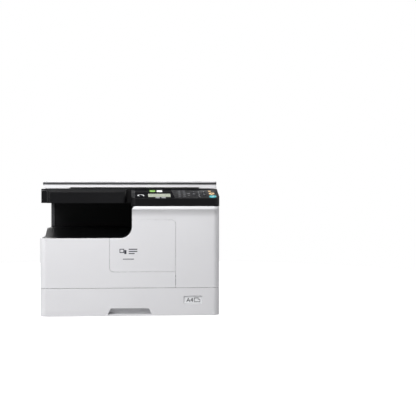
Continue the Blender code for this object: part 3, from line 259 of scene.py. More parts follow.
for number in (1, 2, 3, 4):
    foot = f"foot_{number}"
    add_piece(f"rubber_{foot}", softened(foot, 0.0007), rubber, "machine", (foot,))

# ---------------------------------------------------------------------------------------------
# Engine: two upright steel plates, and between them the laser unit under the delivery tray.
# The motor and the controller board sit behind the rear plate, inside the rear cover.

dress(zinc, "front_frame_plate", "rear_frame_plate")


def moulding(name, colour, shade, roughness, uneven, grain=1300.0, relief=0.00003, gloss=0.5):
    """Spark-eroded plastic: fine grain, with a slow drift of tone and shine across the piece."""
    material, nodes, links, shader, space = blank_finish(name)
    texture = noise(nodes, links, space, grain, 2.0)
    drift = noise(nodes, links, space, 5.5, 4.0)
    links.new(blend_colours(nodes, links, drift, [(0.3, colour), (0.7, shade)]), shader.inputs["Base Color"])
    links.new(spread(nodes, links, drift, roughness - uneven, roughness + uneven), shader.inputs["Roughness"])
    shader.inputs["Specular IOR Level"].default_value = gloss
    raise_grain(nodes, links, shader, texture, relief)
    return material


slate_plastic = moulding("slate_plastic", (0.30, 0.31, 0.33), (0.34, 0.35, 0.37), 0.46, 0.05)
add_piece("laser_housing", softened("laser_unit", 0.003), slate_plastic, "machine",
          ("laser_unit",))


def slab(low, high, radius=0.0, steps=2):
    """A block between two corners, its edges rounded."""
    bm = bmesh.new()
    low, high = Vector(low), Vector(high)
    bmesh.ops.create_cube(bm, size=1.0)
    bmesh.ops.scale(bm, vec=high - low, verts=bm.verts)
    bmesh.ops.translate(bm, vec=(low + high) / 2, verts=bm.verts)
    if radius:
        bmesh.ops.bevel(bm, geom=bm.edges[:], offset=radius, offset_type="OFFSET", affect="EDGES",
                        segments=steps, profile=0.5, material=-1, clamp_overlap=True)
    return bm


def round_bar(start, end, radius, sides=24, soft=0.0):
    """A round bar between two points, its rims rounded."""
    bm = bmesh.new()
    start, end = Vector(start), Vector(end)
    along = end - start
    placed = Matrix.Translation((start + end) / 2) @ along.to_track_quat("Z", "Y").to_matrix().to_4x4()
    bmesh.ops.create_cone(bm, cap_ends=True, segments=sides, radius1=radius, radius2=radius,
                          depth=along.length)
    if soft:
        rims = [edge for edge in bm.edges if edge.calc_face_angle(0.0) > radians(60)]
        bmesh.ops.bevel(bm, geom=rims, offset=soft, offset_type="OFFSET", affect="EDGES", segments=2,
                        profile=0.5, material=-1, clamp_overlap=True)
    bmesh.ops.transform(bm, matrix=placed, verts=bm.verts)
    return bm


def merged(*shapes):
    """Several shapes as one mesh, each a body of its own."""
    total = bmesh.new()
    for shape in shapes:
        mesh = bpy.data.meshes.new("part")
        shape.to_mesh(mesh)
        shape.free()
        total.from_mesh(mesh)
        bpy.data.meshes.remove(mesh)
    return total


laser_low, laser_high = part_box("laser_unit")
screw_x, screw_y = (laser_low.x + 0.012, laser_high.x - 0.020), (laser_low.y + 0.012, laser_high.y - 0.012)
lid_screws = [round_bar((x, y, laser_high.z), (x, y, laser_high.z + 0.0022), 0.0035, 16, 0.0006)
              for x in screw_x for y in screw_y]
add_piece("laser_housing_screws", merged(*lid_screws), zinc, "machine")

motor_black = moulding("motor_black", (0.030, 0.030, 0.032), (0.045, 0.045, 0.047), 0.40, 0.06, 700.0)
add_piece("motor_body", softened("main_motor", 0.0012), zinc, "machine", ("main_motor",))
motor_low, motor_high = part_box("main_motor")
motor_x, motor_z = (motor_low.x + motor_high.x) / 2, (motor_low.z + motor_high.z) / 2
band_radius = 0.0303
add_piece("motor_label_band", round_bar((motor_x, motor_high.y - 0.024, motor_z),
                                        (motor_x, motor_high.y - 0.012, motor_z), band_radius, 48),
          motor_black, "machine")

board, nodes, links, shader, space = blank_finish("solder_mask")
tracks = nodes.new("ShaderNodeTexBrick")
tracks.inputs["Scale"].default_value = 110.0
tracks.inputs["Mortar Size"].default_value = 0.05
tracks.inputs["Color1"].default_value = (0.012, 0.115, 0.045, 1.0)
tracks.inputs["Color2"].default_value = (0.016, 0.150, 0.060, 1.0)
tracks.inputs["Mortar"].default_value = (0.045, 0.270, 0.110, 1.0)
turn = nodes.new("ShaderNodeMapping")
turn.inputs["Rotation"].default_value = (radians(90), 0.0, 0.0)
links.new(space, turn.inputs["Vector"])
links.new(turn.outputs["Vector"], tracks.inputs["Vector"])
links.new(tracks.outputs["Color"], shader.inputs["Base Color"])
shader.inputs["Roughness"].default_value = 0.32
raise_grain(nodes, links, shader, tracks.outputs["Fac"], 0.00004)
dress(board, "controller_board")

board_low, board_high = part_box("controller_board")
chip_black = moulding("chip_black", (0.018, 0.018, 0.019), (0.026, 0.026, 0.027), 0.5, 0.04, 2200.0)
cans, chips = [], []
for column in range(5):
    x = board_low.x + 0.030 + column * 0.038
    can_z = board_high.z - 0.016
    cans.append(round_bar((x, board_low.y + 0.0016, can_z), (x, board_low.y + 0.0125, can_z), 0.005, 20,
                          0.0008))
    chips.append(slab((x - 0.005, board_low.y + 0.0016, board_low.z + 0.012),
                      (x + 0.006, board_low.y + 0.0030, board_low.z + 0.022), 0.0003))
add_piece("board_capacitors", merged(*cans), zinc, "machine")
add_piece("board_chips", merged(*chips), chip_black, "machine")

# ---------------------------------------------------------------------------------------------
# Rollers: steel shafts with rubber tyres pressed on, the coated heating sleeve, and the green
# drum. They turn between the frame plates, but for the transfer roller, which the side door
# carries.


def shaft_with_sleeve(name, material, body, sleeve_radius, stretches):
    """A shaft with turned ends, carrying rubber or coated sleeves."""
    low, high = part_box(name)
    x, z = (low.x + high.x) / 2, (low.z + high.z) / 2
    core = merged(round_bar((x, low.y, z), (x, high.y, z), 0.0040, 24, 0.0006))
    add_piece(f"{name}_shaft", core, zinc, body)
    sleeves = [round_bar((x, start, z), (x, end, z), sleeve_radius, 40, 0.0008) for start, end in stretches]
    add_piece(f"{name}_sleeve", merged(*sleeves), material, body, (name,))


sheet_front, sheet_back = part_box("tray_fence_front")[1].y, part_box("tray_fence_rear")[0].y
sheet_middle = (sheet_front + sheet_back) / 2
full = [(sheet_front - 0.006, sheet_back + 0.006)]

drum_green, nodes, links, shader, space = blank_finish("photoconductor")
links.new(blend_colours(nodes, links, noise(nodes, links, space, 9.0, 4.0),
                        [(0.3, (0.020, 0.200, 0.140)), (0.7, (0.030, 0.250, 0.180))]),
          shader.inputs["Base Color"])
shader.inputs["Roughness"].default_value = 0.10
shader.inputs["Metallic"].default_value = 0.3
shader.inputs["Coat Weight"].default_value = 0.6
raise_grain(nodes, links, shader, noise(nodes, links, space, 1800.0, 1.0), 0.000004)
heat_sleeve = moulding("heat_sleeve", (0.035, 0.045, 0.080), (0.050, 0.060, 0.100), 0.24, 0.05, 900.0,
                       0.000008)
dark_sponge = moulding("dark_sponge", (0.020, 0.020, 0.021), (0.036, 0.035, 0.035), 0.85, 0.05, 1000.0,
                       0.00012)

shaft_with_sleeve("drum", drum_green, "drum_shaft", 0.015, full)
shaft_with_sleeve("hot_roller", heat_sleeve, "hot_shaft", 0.015, full)
shaft_with_sleeve("pressure_roller", rubber, "pressure_shaft", 0.014, full)
transfer_low, transfer_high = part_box("transfer_roller")
shaft_with_sleeve("transfer_roller", dark_sponge, "transfer", 0.008,
                  [(transfer_low.y + 0.006, transfer_high.y - 0.006)])
shaft_with_sleeve("feed_roller", rubber, "feed_shaft", 0.020,
                  [(sheet_middle - 0.025, sheet_middle + 0.025)])
tyres = [sheet_middle + offset for offset in (-0.095, -0.032, 0.032, 0.095)]
shaft_with_sleeve("exit_roller", rubber, "exit_shaft", 0.008,
                  [(y - 0.012, y + 0.012) for y in tyres])

# ---------------------------------------------------------------------------------------------
# Toner bottle: blow-moulded, with ridges round it that walk the powder to its neck as it turns.
# A cap with a bar grip for the hand is pushed on at the front.

bottle_low, bottle_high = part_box("toner_bottle")
bottle_x, bottle_z = (bottle_low.x + bottle_high.x) / 2, (bottle_low.z + bottle_high.z) / 2
bottle_r = (bottle_high.x - bottle_low.x) / 2
cap_y, neck_y = bottle_low.y + 0.018, bottle_high.y - 0.020


def turned(profile, x, z, sides=48):
    """A piece turned about a line along Y; profile holds (y, radius) pairs from end to end."""
    bm = bmesh.new()
    line = [bm.verts.new((radius, y, 0.0)) for y, radius in profile]
    edges = [bm.edges.new(pair) for pair in zip(line, line[1:])]
    bmesh.ops.spin(bm, geom=[*line, *edges], cent=(0, 0, 0), axis=(0, 1, 0), angle=2 * pi, steps=sides,
                   use_merge=True)
    bmesh.ops.remove_doubles(bm, verts=bm.verts, dist=0.00002)
    bmesh.ops.recalc_face_normals(bm, faces=bm.faces)
    bmesh.ops.translate(bm, vec=(x, 0.0, z), verts=bm.verts)
    return bm


ridge_count = 14
ridge_pitch = (neck_y - cap_y - 0.030) / ridge_count
bottle_line = [(cap_y, 0.0), (cap_y, bottle_r - 0.003), (cap_y + 0.003, bottle_r)]
for ridge in range(ridge_count):
    ridge_y = cap_y + 0.012 + ridge * ridge_pitch
    bottle_line += [(ridge_y, bottle_r), (ridge_y + 0.003, bottle_r - 0.0035),
                    (ridge_y + 0.007, bottle_r - 0.0035), (ridge_y + 0.010, bottle_r)]
bottle_line += [(neck_y - 0.008, bottle_r), (neck_y - 0.002, bottle_r - 0.008), (neck_y, 0.016),
                (neck_y + 0.001, 0.014), (bottle_high.y - 0.001, 0.014), (bottle_high.y, 0.013),
                (bottle_high.y, 0.0)]
bottle_white = moulding("bottle_plastic", (0.62, 0.63, 0.64), (0.56, 0.57, 0.58), 0.38, 0.05, 500.0, 0.00002)
add_piece("bottle_body", turned(bottle_line, bottle_x, bottle_z), bottle_white, "bottle",
          ("toner_bottle",), sharp=55)
cap_line = [(bottle_low.y + 0.006, 0.0), (bottle_low.y + 0.006, bottle_r - 0.010),
            (bottle_low.y + 0.008, bottle_r - 0.008), (cap_y + 0.002, bottle_r - 0.008), (cap_y + 0.002, 0.0)]
grip_bar = slab((bottle_x - 0.004, bottle_low.y, bottle_z - 0.026),
                (bottle_x + 0.004, bottle_low.y + 0.010, bottle_z + 0.026), 0.0015)
add_piece("bottle_cap", merged(turned(cap_line, bottle_x, bottle_z), grip_bar), slate_plastic, "bottle")

# ---------------------------------------------------------------------------------------------
# Outer covers: injection-moulded in a very light grey with a fine even grain, clipped over the
# frame, and the rear one screwed on. Every visible edge has a small radius, so each seam reads as
# a thin soft line.

cover_white = moulding("cover_white", (0.700, 0.700, 0.718), (0.680, 0.680, 0.699), 0.40, 0.03, 1500.0,
                       0.000018)

for name in ("left_cover", "right_cover", "rear_cover"):
    add_piece(f"{name}_shell", softened(name, 0.0007), cover_white, "machine", (name,))
bay_right, bay_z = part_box("front_right_cover")[0].x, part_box("front_left_cover")[1].z
face_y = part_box("toner_door")[0].y
bay_rim = (0.0023, lambda at: at.y < face_y + 0.0004 and at.z > bay_z - 0.0002 and at.x < bay_right + 0.0135)
for name in ("front_left_cover", "front_right_cover"):
    add_piece(f"{name}_shell", softened(name, 0.0011, rim=bay_rim), cover_white, "machine",
              (name,))

rear_low, rear_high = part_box("rear_cover")
cover_screws = []
for x in (rear_low.x + 0.030, 0.0, rear_high.x - 0.030):
    for z in (rear_low.z + 0.020, rear_high.z - 0.022):
        cover_screws.append(round_bar((x, rear_high.y - 0.0010, z), (x, rear_high.y + 0.0016, z), 0.0038, 20,
                                      0.0008))
add_piece("rear_cover_screws", merged(*cover_screws), zinc, "machine")

# ---------------------------------------------------------------------------------------------
# Mains inlet and switch: black mouldings let into the covers, the inlet with three flat pins of
# plated brass, and the switch with a rocker whose two ends are marked with a bar and a ring.

socket_black = moulding("socket_black", (0.016, 0.016, 0.017), (0.022, 0.022, 0.023), 0.42, 0.05, 1800.0)
add_piece("mains_socket", softened("power_inlet", 0.0004, 2), socket_black, "machine",
          ("power_inlet",))
inlet_low, inlet_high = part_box("power_inlet")
inlet_x, inlet_z = (inlet_low.x + inlet_high.x) / 2, (inlet_low.z + inlet_high.z) / 2
brass, nodes, links, shader, space = blank_finish("nickel_brass")
links.new(blend_colours(nodes, links, noise(nodes, links, space, 300.0),
                        [(0.3, (0.72, 0.68, 0.58)), (0.7, (0.80, 0.77, 0.68))]), shader.inputs["Base Color"])
shader.inputs["Metallic"].default_value = 1.0
shader.inputs["Roughness"].default_value = 0.25
contacts = [slab((inlet_x + dx - 0.0012, inlet_high.y - 0.014, inlet_z + dz - 0.0022),
                 (inlet_x + dx + 0.0012, inlet_high.y - 0.0038, inlet_z + dz + 0.0022), 0.0004)
            for dx, dz in ((-0.007, -0.002), (0.0, 0.002), (0.007, -0.002))]
add_piece("mains_contacts", merged(*contacts), brass, "machine")

add_piece("rocker_cap", softened("power_switch", 0.0006, 2), socket_black, "rocker",
          ("power_switch",))
mark_paint = moulding("mark_paint", (0.80, 0.81, 0.82), (0.76, 0.77, 0.78), 0.5, 0.03, 900.0, 0.000006)
rocker_low, rocker_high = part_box("power_switch")
rocker_y, rocker_z = (rocker_low.y + rocker_high.y) / 2, (rocker_low.z + rocker_high.z) / 2
rocker_bar = slab((rocker_low.x + 0.0002, rocker_y - 0.0006, rocker_z + 0.0050),
                  (rocker_low.x + 0.0012, rocker_y + 0.0006, rocker_z + 0.0095))
rocker_ring = bmesh.new()
ring_middle = Vector((rocker_low.x + 0.0007, rocker_y, rocker_z - 0.0070))
section = [rocker_ring.verts.new(ring_middle + Vector((dx, 0.0, dz))) for dx, dz in
           ((-0.0005, 0.0018), (0.0005, 0.0018), (0.0005, 0.0025), (-0.0005, 0.0025))]
section_face = rocker_ring.faces.new(section)
bmesh.ops.spin(rocker_ring, geom=[section_face], cent=ring_middle, axis=(1, 0, 0), angle=2 * pi, steps=24,
               use_merge=True)
bmesh.ops.remove_doubles(rocker_ring, verts=rocker_ring.verts, dist=0.00002)
inner_faces = [face for face in rocker_ring.faces if all(len(edge.link_faces) > 2 for edge in face.edges)]
bmesh.ops.delete(rocker_ring, geom=inner_faces, context="FACES_ONLY")
bmesh.ops.recalc_face_normals(rocker_ring, faces=rocker_ring.faces)
add_piece("rocker_marks", merged(rocker_bar, rocker_ring), mark_paint, "rocker")

# ---------------------------------------------------------------------------------------------
# Front door: a flat moulded panel over the toner bottle, hinged along its lower edge. A small
# printed sign in its middle, two overlapping sheets beside three lines, says that this is a
# copier.

add_piece("toner_door_panel", softened("toner_door", 0.0009, rim=bay_rim), cover_white, "front_door",
          ("toner_door",))
sign_ink = moulding("sign_ink", (0.030, 0.032, 0.045), (0.038, 0.040, 0.055), 0.45, 0.03, 2000.0, 0.000004)
sign_x, sign_z = -0.006, 0.2125


def printed_bar(left, low, right, high):
    """A printed strip on the door, as thick as its ink."""
    return slab((left, face_y - 0.0002, low), (right, face_y + 0.0006, high))


def sheet_outline(left, low, right, high, line):
    return [printed_bar(left, low, left + line, high), printed_bar(right - line, low, right, high),
            printed_bar(left + line, low, right - line, low + line),
            printed_bar(left + line, high - line, right - line, high)]


sign = sheet_outline(sign_x - 0.029, sign_z - 0.0045, sign_x - 0.014, sign_z + 0.0085, 0.0024)
sign.append(printed_bar(sign_x - 0.0135, sign_z - 0.0085, sign_x - 0.0065, sign_z + 0.0045))
sign += [printed_bar(sign_x + 0.0010, sign_z + z, sign_x + reach, sign_z + z + 0.0030)
         for z, reach in ((0.0055, 0.0290), (-0.0015, 0.0290), (-0.0085, 0.0200))]
sign += [printed_bar(sign_x - 0.018, 0.1862, sign_x + 0.018, 0.1886)]
add_piece("door_sign", merged(*sign), sign_ink, "front_door")

# ---------------------------------------------------------------------------------------------
# Paper tray: a white moulded front on a grey bin that slides in the base pan. The front has a
# finger recess along its lower edge and a window for a card with the paper's size; a steel lift
# plate and three guides hold the stack.

add_piece("tray_front_shell", softened("tray_front", 0.0009), cover_white, "paper_tray",
          ("tray_front",))
bin_grey = moulding("bin_grey", (0.20, 0.205, 0.215), (0.23, 0.235, 0.245), 0.5, 0.05, 1100.0)
add_piece("tray_bin_shell", softened("tray_bin", 0.0006, 2), bin_grey, "paper_tray",
          ("tray_bin",))
add_piece("lift_plate_sheet", softened("tray_plate", 0.0004, 2), zinc, "lift_plate",
          ("tray_plate",))
guide_black = moulding("guide_plastic", (0.045, 0.046, 0.050), (0.060, 0.061, 0.065), 0.45, 0.05, 1200.0)
for name, body in (("tray_fence_front", "front_fence"), ("tray_fence_rear", "rear_fence"),
                   ("tray_end_fence", "end_fence")):
    add_piece(f"{name}_blade", softened(name, 0.0008), guide_black, body, (name,))

plate_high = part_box("tray_plate")[1]
cork = moulding("friction_pad", (0.36, 0.22, 0.12), (0.42, 0.27, 0.15), 0.9, 0.04, 900.0, 0.00015)
pad_x = plate_high.x - 0.036
add_piece("lift_plate_pad", slab((pad_x, sheet_middle - 0.022, plate_high.z - 0.0002),
                                 (pad_x + 0.026, sheet_middle + 0.022, plate_high.z + 0.0012), 0.0004),
          cork, "lift_plate")

card_paper = moulding("card_paper", (0.80, 0.81, 0.82), (0.77, 0.78, 0.80), 0.55, 0.04, 700.0, 0.00001)
side_x = cad_high.x
window_low = Vector((side_x - 0.1188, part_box("tray_front")[0].y + 0.004, 0.039))
window_high = Vector((side_x - 0.0585, window_low.y, 0.0653))
add_piece("size_card", slab((window_low.x + 0.0018, window_low.y - 0.0010, window_low.z + 0.0016),
                            (window_high.x - 0.0018, window_low.y - 0.0002, window_high.z - 0.0016), 0.0003),
          card_paper, "paper_tray")


def lettering(text, height, thickness):
    """Printed figures as a thin solid, centred, lying flat and facing up."""
    curve = bpy.data.curves.new("figures", "FONT")
    curve.body = text
    curve.size = height / 0.70
    curve.extrude = thickness / 2
    curve.resolution_u = 4
    writer = bpy.data.objects.new("figures", curve)
    bpy.context.scene.collection.objects.link(writer)
    mesh = writer.evaluated_get(bpy.context.evaluated_depsgraph_get()).to_mesh()
    bm = bmesh.new()
    bm.from_mesh(mesh)
    bpy.data.objects.remove(writer, do_unlink=True)
    bpy.data.curves.remove(curve)
    bmesh.ops.remove_doubles(bm, verts=bm.verts, dist=0.000001)
    low = Vector(min(vert.co[axis] for vert in bm.verts) for axis in range(3))
    high = Vector(max(vert.co[axis] for vert in bm.verts) for axis in range(3))
    bmesh.ops.translate(bm, vec=-(low + high) / 2, verts=bm.verts)
    return bm


ink = moulding("print_ink", (0.030, 0.030, 0.034), (0.040, 0.040, 0.044), 0.5, 0.03, 2000.0, 0.000004)
upright = Matrix.Rotation(radians(90), 4, "X")
card_y = window_low.y - 0.0012
card_z = (window_low.z + window_high.z) / 2
size_text = lettering("A4", 0.0135, 0.0006)
size_text.transform(Matrix.Translation((window_low.x + 0.0200, card_y, card_z)) @ upright)
page_x = window_high.x - 0.0160
# A page with a folded corner: each row gives left, low, right and high, from the page's middle.
page_lines = ((-0.0100, -0.0070, 0.0100, -0.0056), (-0.0100, 0.0056, 0.0040, 0.0070),
              (-0.0100, -0.0056, -0.0086, 0.0056), (0.0086, -0.0056, 0.0100, 0.0010),
              (0.0030, 0.0010, 0.0100, 0.0024), (0.0026, 0.0024, 0.0040, 0.0056))
page = [slab((page_x + left, card_y - 0.0003, card_z + low), (page_x + right, card_y + 0.0003, card_z + high))
        for left, low, right, high in page_lines]
add_piece("size_card_print", merged(size_text, *page), ink, "paper_tray")

# ---------------------------------------------------------------------------------------------
# Delivery bay: a black tray whose floor ramps up to the back, its right corner swept up to the
# side wall, and black walls round it. The grain is coarser here, so that sheets slide. A grey
# post stiffens the back wall's free left end; its grey, lighter than the walls, is a painted
# highlight along that edge.

bay_black = moulding("bay_black", (0.0075, 0.0075, 0.0080), (0.0100, 0.0100, 0.0108), 0.42, 0.05, 900.0,
                     0.00005, 0.2)
add_piece("delivery_tray", softened("output_tray", 0.0008, 2), bay_black, "machine",
          ("output_tray",))
add_piece("bay_lining", softened("bay_wall", 0.0006, 2), bay_black, "machine", ("bay_wall",))
lining_low, lining_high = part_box("bay_wall")
wall_points = [vert.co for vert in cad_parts["bay_wall"].data.vertices]
wall_y = min(point.y for point in wall_points if point.x < lining_low.x + 0.0001)
# Painted highlight: the post is given a lighter grey than the black lining so that the wall's left edge shows
# a light line.
add_piece("bay_corner_post_painted_highlight", slab((lining_low.x + 0.0008, wall_y - 0.0034, lining_low.z + 0.0250),
                                  (lining_low.x + 0.0130, wall_y + 0.0004, lining_high.z - 0.0004), 0.0012),
          guide_black, "machine")

# ---------------------------------------------------------------------------------------------
# Side door with the bypass tray: a white moulded door over the paper path, hinged at its back
# edge, a fold-out tray in its recess, and two sliding guides on the tray. A foam strip inside
# closes the gap at the hinge.

add_piece("side_door_shell", softened("right_door", 0.0007, 2), cover_white, "side_door",
          ("right_door",))
add_piece("bypass_leaf", softened("bypass_tray", 0.0006, 2), cover_white, "bypass",
          ("bypass_tray",))
for name, body in (("bypass_fence_front", "bypass_guide_front"), ("bypass_fence_rear", "bypass_guide_rear")):
    add_piece(f"{name}_blade", softened(name, 0.0007), guide_black, body, (name,))
door_low, door_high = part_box("right_door")
seal = slab((door_high.x - 0.0245, door_high.y - 0.0100, door_low.z + 0.0010),
            (door_high.x - 0.0202, door_high.y + 0.0145, door_high.z - 0.0010), 0.0010)
add_piece("side_door_gap_seal", seal, dark_sponge, "machine")

# ---------------------------------------------------------------------------------------------
# Scanner: a black moulded housing with a rounded nose over the bay and a flat top frame, the
# exposure glass let into it, and below the glass a carriage with its lamp on a polished rod.

scan_black = moulding("scanner_black", (0.0045, 0.0045, 0.0052), (0.0060, 0.0060, 0.0069), 0.30, 0.04, 1400.0,
                      0.000025, 0.34)
add_piece("scanner_housing", softened("scanner_base", 0.0010, 3), scan_black, "machine",
          ("scanner_base",))
add_piece("scanner_bezel", softened("scanner_top_frame", 0.0006, 2), scan_black, "machine",
          ("scanner_top_frame",))

glass, nodes, links, shader, space = blank_finish("float_glass")
shader.inputs["Base Color"].default_value = (0.86, 0.93, 0.91, 1.0)
shader.inputs["Transmission Weight"].default_value = 1.0
shader.inputs["Roughness"].default_value = 0.02
shader.inputs["IOR"].default_value = 1.5
raise_grain(nodes, links, shader, noise(nodes, links, space, 6.0, 1.0), 0.00001)
dress(glass, "exposure_glass")

glass_low, glass_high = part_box("exposure_glass")
strip_z = (glass_high.z - 0.0002, glass_high.z + 0.0002)
side_rule = slab((glass_low.x - 0.011, glass_low.y, strip_z[0]),
                 (glass_low.x - 0.001, glass_high.y, strip_z[1]))
back_rule = slab((glass_low.x, glass_high.y + 0.001, strip_z[0]),
                 (glass_high.x, glass_high.y + 0.009, strip_z[1]))
add_piece("size_rule", merged(side_rule, back_rule), mark_paint, "machine")
ticks = []
tick_z = (strip_z[1] - 0.0001, strip_z[1] + 0.0001)
tick_x, tick_y = glass_low.x - 0.0015, glass_high.y + 0.0015
for step in range(1, 15):
    y = glass_low.y + step * 0.020
    reach = 0.006 if step % 5 == 0 else 0.0035
    ticks.append(slab((tick_x - reach, y - 0.0004, tick_z[0]), (tick_x, y + 0.0004, tick_z[1])))
for step in range(1, 21):
    x = glass_low.x + step * 0.020
    reach = 0.005 if step % 5 == 0 else 0.0030
    ticks.append(slab((x - 0.0004, tick_y, tick_z[0]), (x + 0.0004, tick_y + reach, tick_z[1])))
add_piece("size_rule_marks", merged(*ticks), ink, "machine")

polished, nodes, links, shader, space = blank_finish("polished_steel")
links.new(blend_colours(nodes, links, noise(nodes, links, space, 40.0, 2.0),
                        [(0.3, (0.62, 0.63, 0.64)), (0.7, (0.72, 0.73, 0.74))]), shader.inputs["Base Color"])
shader.inputs["Metallic"].default_value = 1.0
shader.inputs["Roughness"].default_value = 0.12
dress(polished, "carriage_rod")
add_piece("scan_carriage_body", softened("scan_carriage", 0.0008, 2), scan_black, "carriage",
          ("scan_carriage",))
carriage_low, carriage_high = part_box("scan_carriage")
lamp_tube, nodes, links, shader, space = blank_finish("lamp_tube")
links.new(blend_colours(nodes, links, noise(nodes, links, space, 30.0),
                        [(0.3, (0.84, 0.86, 0.86)), (0.7, (0.90, 0.92, 0.92))]), shader.inputs["Base Color"])
shader.inputs["Roughness"].default_value = 0.15
lamp_x = (carriage_low.x + carriage_high.x) / 2
lamp_z = carriage_high.z - 0.0022
add_piece("scan_lamp", round_bar((lamp_x, carriage_low.y + 0.013, lamp_z),
                                 (lamp_x, carriage_high.y - 0.013, lamp_z), 0.0022, 20, 0.0005),
          lamp_tube, "carriage")

# ---------------------------------------------------------------------------------------------
# Platen cover: a white lid in two steps. A near-black strip in the groove between them is painted
# shade, and a softer grey lip under it is painted shadow, the shade cast by the upper step; a
# near-black strip in the grip notch along the front edge is painted shade as well. A foam-backed
# white mat below presses the original on the glass. Two steel hinges hold it at the back.

add_piece("platen_lid", softened("platen_cover", 0.0008), cover_white, "platen",
          ("platen_cover",))
lid_low, lid_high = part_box("platen_cover")
lid_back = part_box("scanner_top_frame")[1].y - 0.022
# A near-black finish for strips that are painted shade: they stand in for the shadow deep in the lid's groove
# and in its grip notch.
painted_shade_black = moulding("painted_shade_strip", (0.014, 0.0145, 0.016), (0.020, 0.0205, 0.022), 0.6, 0.04, 900.0)
edge_x, edge_front = lid_high.x, lid_low.y


def groove_band(low, high, outer, inner):
    """A band of square section running round the lid in its groove, between two depths."""
    left, right, front, back = -edge_x + outer, edge_x - outer, edge_front + outer, lid_back - outer
    width = inner - outer
    return [slab((left, front, low), (right, front + width, high)),
            slab((left, back - width, low), (right, back, high)),
            slab((left, front + width, low), (left + width, back - width, high)),
            slab((right - width, front + width, low), (right, back - width, high))]


lip_z = lid_low.z + 0.0156
strips = groove_band(lip_z, lid_low.z + 0.0199, 0.0006, 0.0038)
# The strip in the grip notch at the lid's lower front edge is painted shade, standing in for the dark gap
# seen there.
strips.append(slab((-edge_x + 0.0925, edge_front + 0.0022, lid_low.z + 0.0001),
                   (edge_x - 0.0600, edge_front + 0.0034, lid_low.z + 0.0042)))
add_piece("platen_painted_shade_strips", merged(*strips), painted_shade_black, "platen")
# The grey lip is painted shadow: its grey stands in for the shade that the lid's upper step casts on the band
# just below the groove.
lip_painted_shadow = moulding("painted_shadow_lip", (0.22, 0.22, 0.23), (0.25, 0.25, 0.26), 0.6, 0.04, 900.0)
add_piece("platen_painted_shadow_lip", merged(*groove_band(lid_low.z + 0.0120, lip_z, 0.0009, 0.0038)), lip_painted_shadow,
          "platen")

mat_white = moulding("mat_white", (0.84, 0.84, 0.83), (0.80, 0.80, 0.79), 0.75, 0.05, 700.0, 0.00006)
add_piece("platen_mat_sheet", softened("platen_mat", 0.0012), mat_white, "platen",
          ("platen_mat",))
for side in ("left", "right"):
    name = f"lid_hinge_{side}"
    add_piece(f"{name}_post", softened(name, 0.0006, 2), zinc, "machine", (name,))

# ---------------------------------------------------------------------------------------------
# Control panel: a sloping black housing. A gloss window covers the display and its lamps; to its
# right the film keys are printed on the housing, and beyond them are the holes for the push keys.

panel_low, panel_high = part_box("panel_housing")
panel_black = moulding("panel_black", (0.0034, 0.0034, 0.0041), (0.0046, 0.0046, 0.0055), 0.34, 0.04, 1500.0,
                       0.000025, 0.33)
add_piece("panel_shell", softened("panel_housing", 0.0011, 3), panel_black, "machine",
          ("panel_housing",))

slope_rise = 0.0305
slope_angle = atan2(slope_rise, panel_high.y - panel_low.y)
slope_foot = Matrix.Translation((0.0, panel_low.y, panel_high.z - slope_rise))
slope = slope_foot @ Matrix.Rotation(slope_angle, 4, "X")


def on_slope(bm):
    """Moves a piece drawn flat, z being its height, onto the panel's slope."""
    bm.transform(slope)
    return bm


def plate(outline, low, high, radius=0.0):
    """A flat plate of any outline, its upper rim rounded."""
    bm = bmesh.new()
    face = bm.faces.new([bm.verts.new((x, y, low)) for x, y in outline])
    grown = bmesh.ops.extrude_face_region(bm, geom=[face])["geom"]
    top = [item for item in grown if isinstance(item, bmesh.types.BMVert)]
    bmesh.ops.translate(bm, vec=(0.0, 0.0, high - low), verts=top)
    bmesh.ops.recalc_face_normals(bm, faces=bm.faces)
    if radius:
        rim = [edge for edge in bm.edges if all(vert in top for vert in edge.verts)]
        bmesh.ops.bevel(bm, geom=rim, offset=radius, offset_type="OFFSET", affect="EDGES", segments=2,
                        profile=0.5, material=-1, clamp_overlap=True)
    return bm


gloss_black, nodes, links, shader, space = blank_finish("gloss_window")
links.new(blend_colours(nodes, links, noise(nodes, links, space, 20.0),
                        [(0.3, (0.006, 0.006, 0.007)), (0.7, (0.008, 0.008, 0.009))]),
          shader.inputs["Base Color"])
shader.inputs["Roughness"].default_value = 0.08
shader.inputs["Specular IOR Level"].default_value = 0.003
window = plate([(0.016, 0.005), (0.146, 0.005), (0.137, 0.097), (0.016, 0.097)], 0.0001, 0.0007, 0.0003)
add_piece("display_window", on_slope(window), gloss_black, "machine")

screen_glow, nodes, links, shader, space = blank_finish("screen_glow")
segments = nodes.new("ShaderNodeTexBrick")
segments.inputs["Scale"].default_value = 150.0
segments.inputs["Mortar Size"].default_value = 0.012
segments.inputs["Color1"].default_value = (0.37, 0.39, 0.33, 1.0)
segments.inputs["Color2"].default_value = (0.34, 0.36, 0.30, 1.0)
segments.inputs["Mortar"].default_value = (0.31, 0.34, 0.27, 1.0)
links.new(space, segments.inputs["Vector"])
links.new(segments.outputs["Color"], shader.inputs["Base Color"])
links.new(segments.outputs["Color"], shader.inputs["Emission Color"])
shader.inputs["Emission Strength"].default_value = 0.15
shader.inputs["Specular IOR Level"].default_value = 0.10
shader.inputs["Roughness"].default_value = 0.3
screen = plate([(0.0590, 0.0130), (0.1325, 0.0130), (0.1325, 0.0480), (0.0590, 0.0480)], 0.0004, 0.0010,
               0.0002)
add_piece("display_screen", on_slope(screen), screen_glow, "machine")

screen_ink = moulding("screen_ink", (0.26, 0.30, 0.22), (0.29, 0.33, 0.24), 0.4, 0.03, 2000.0, 0.000004)
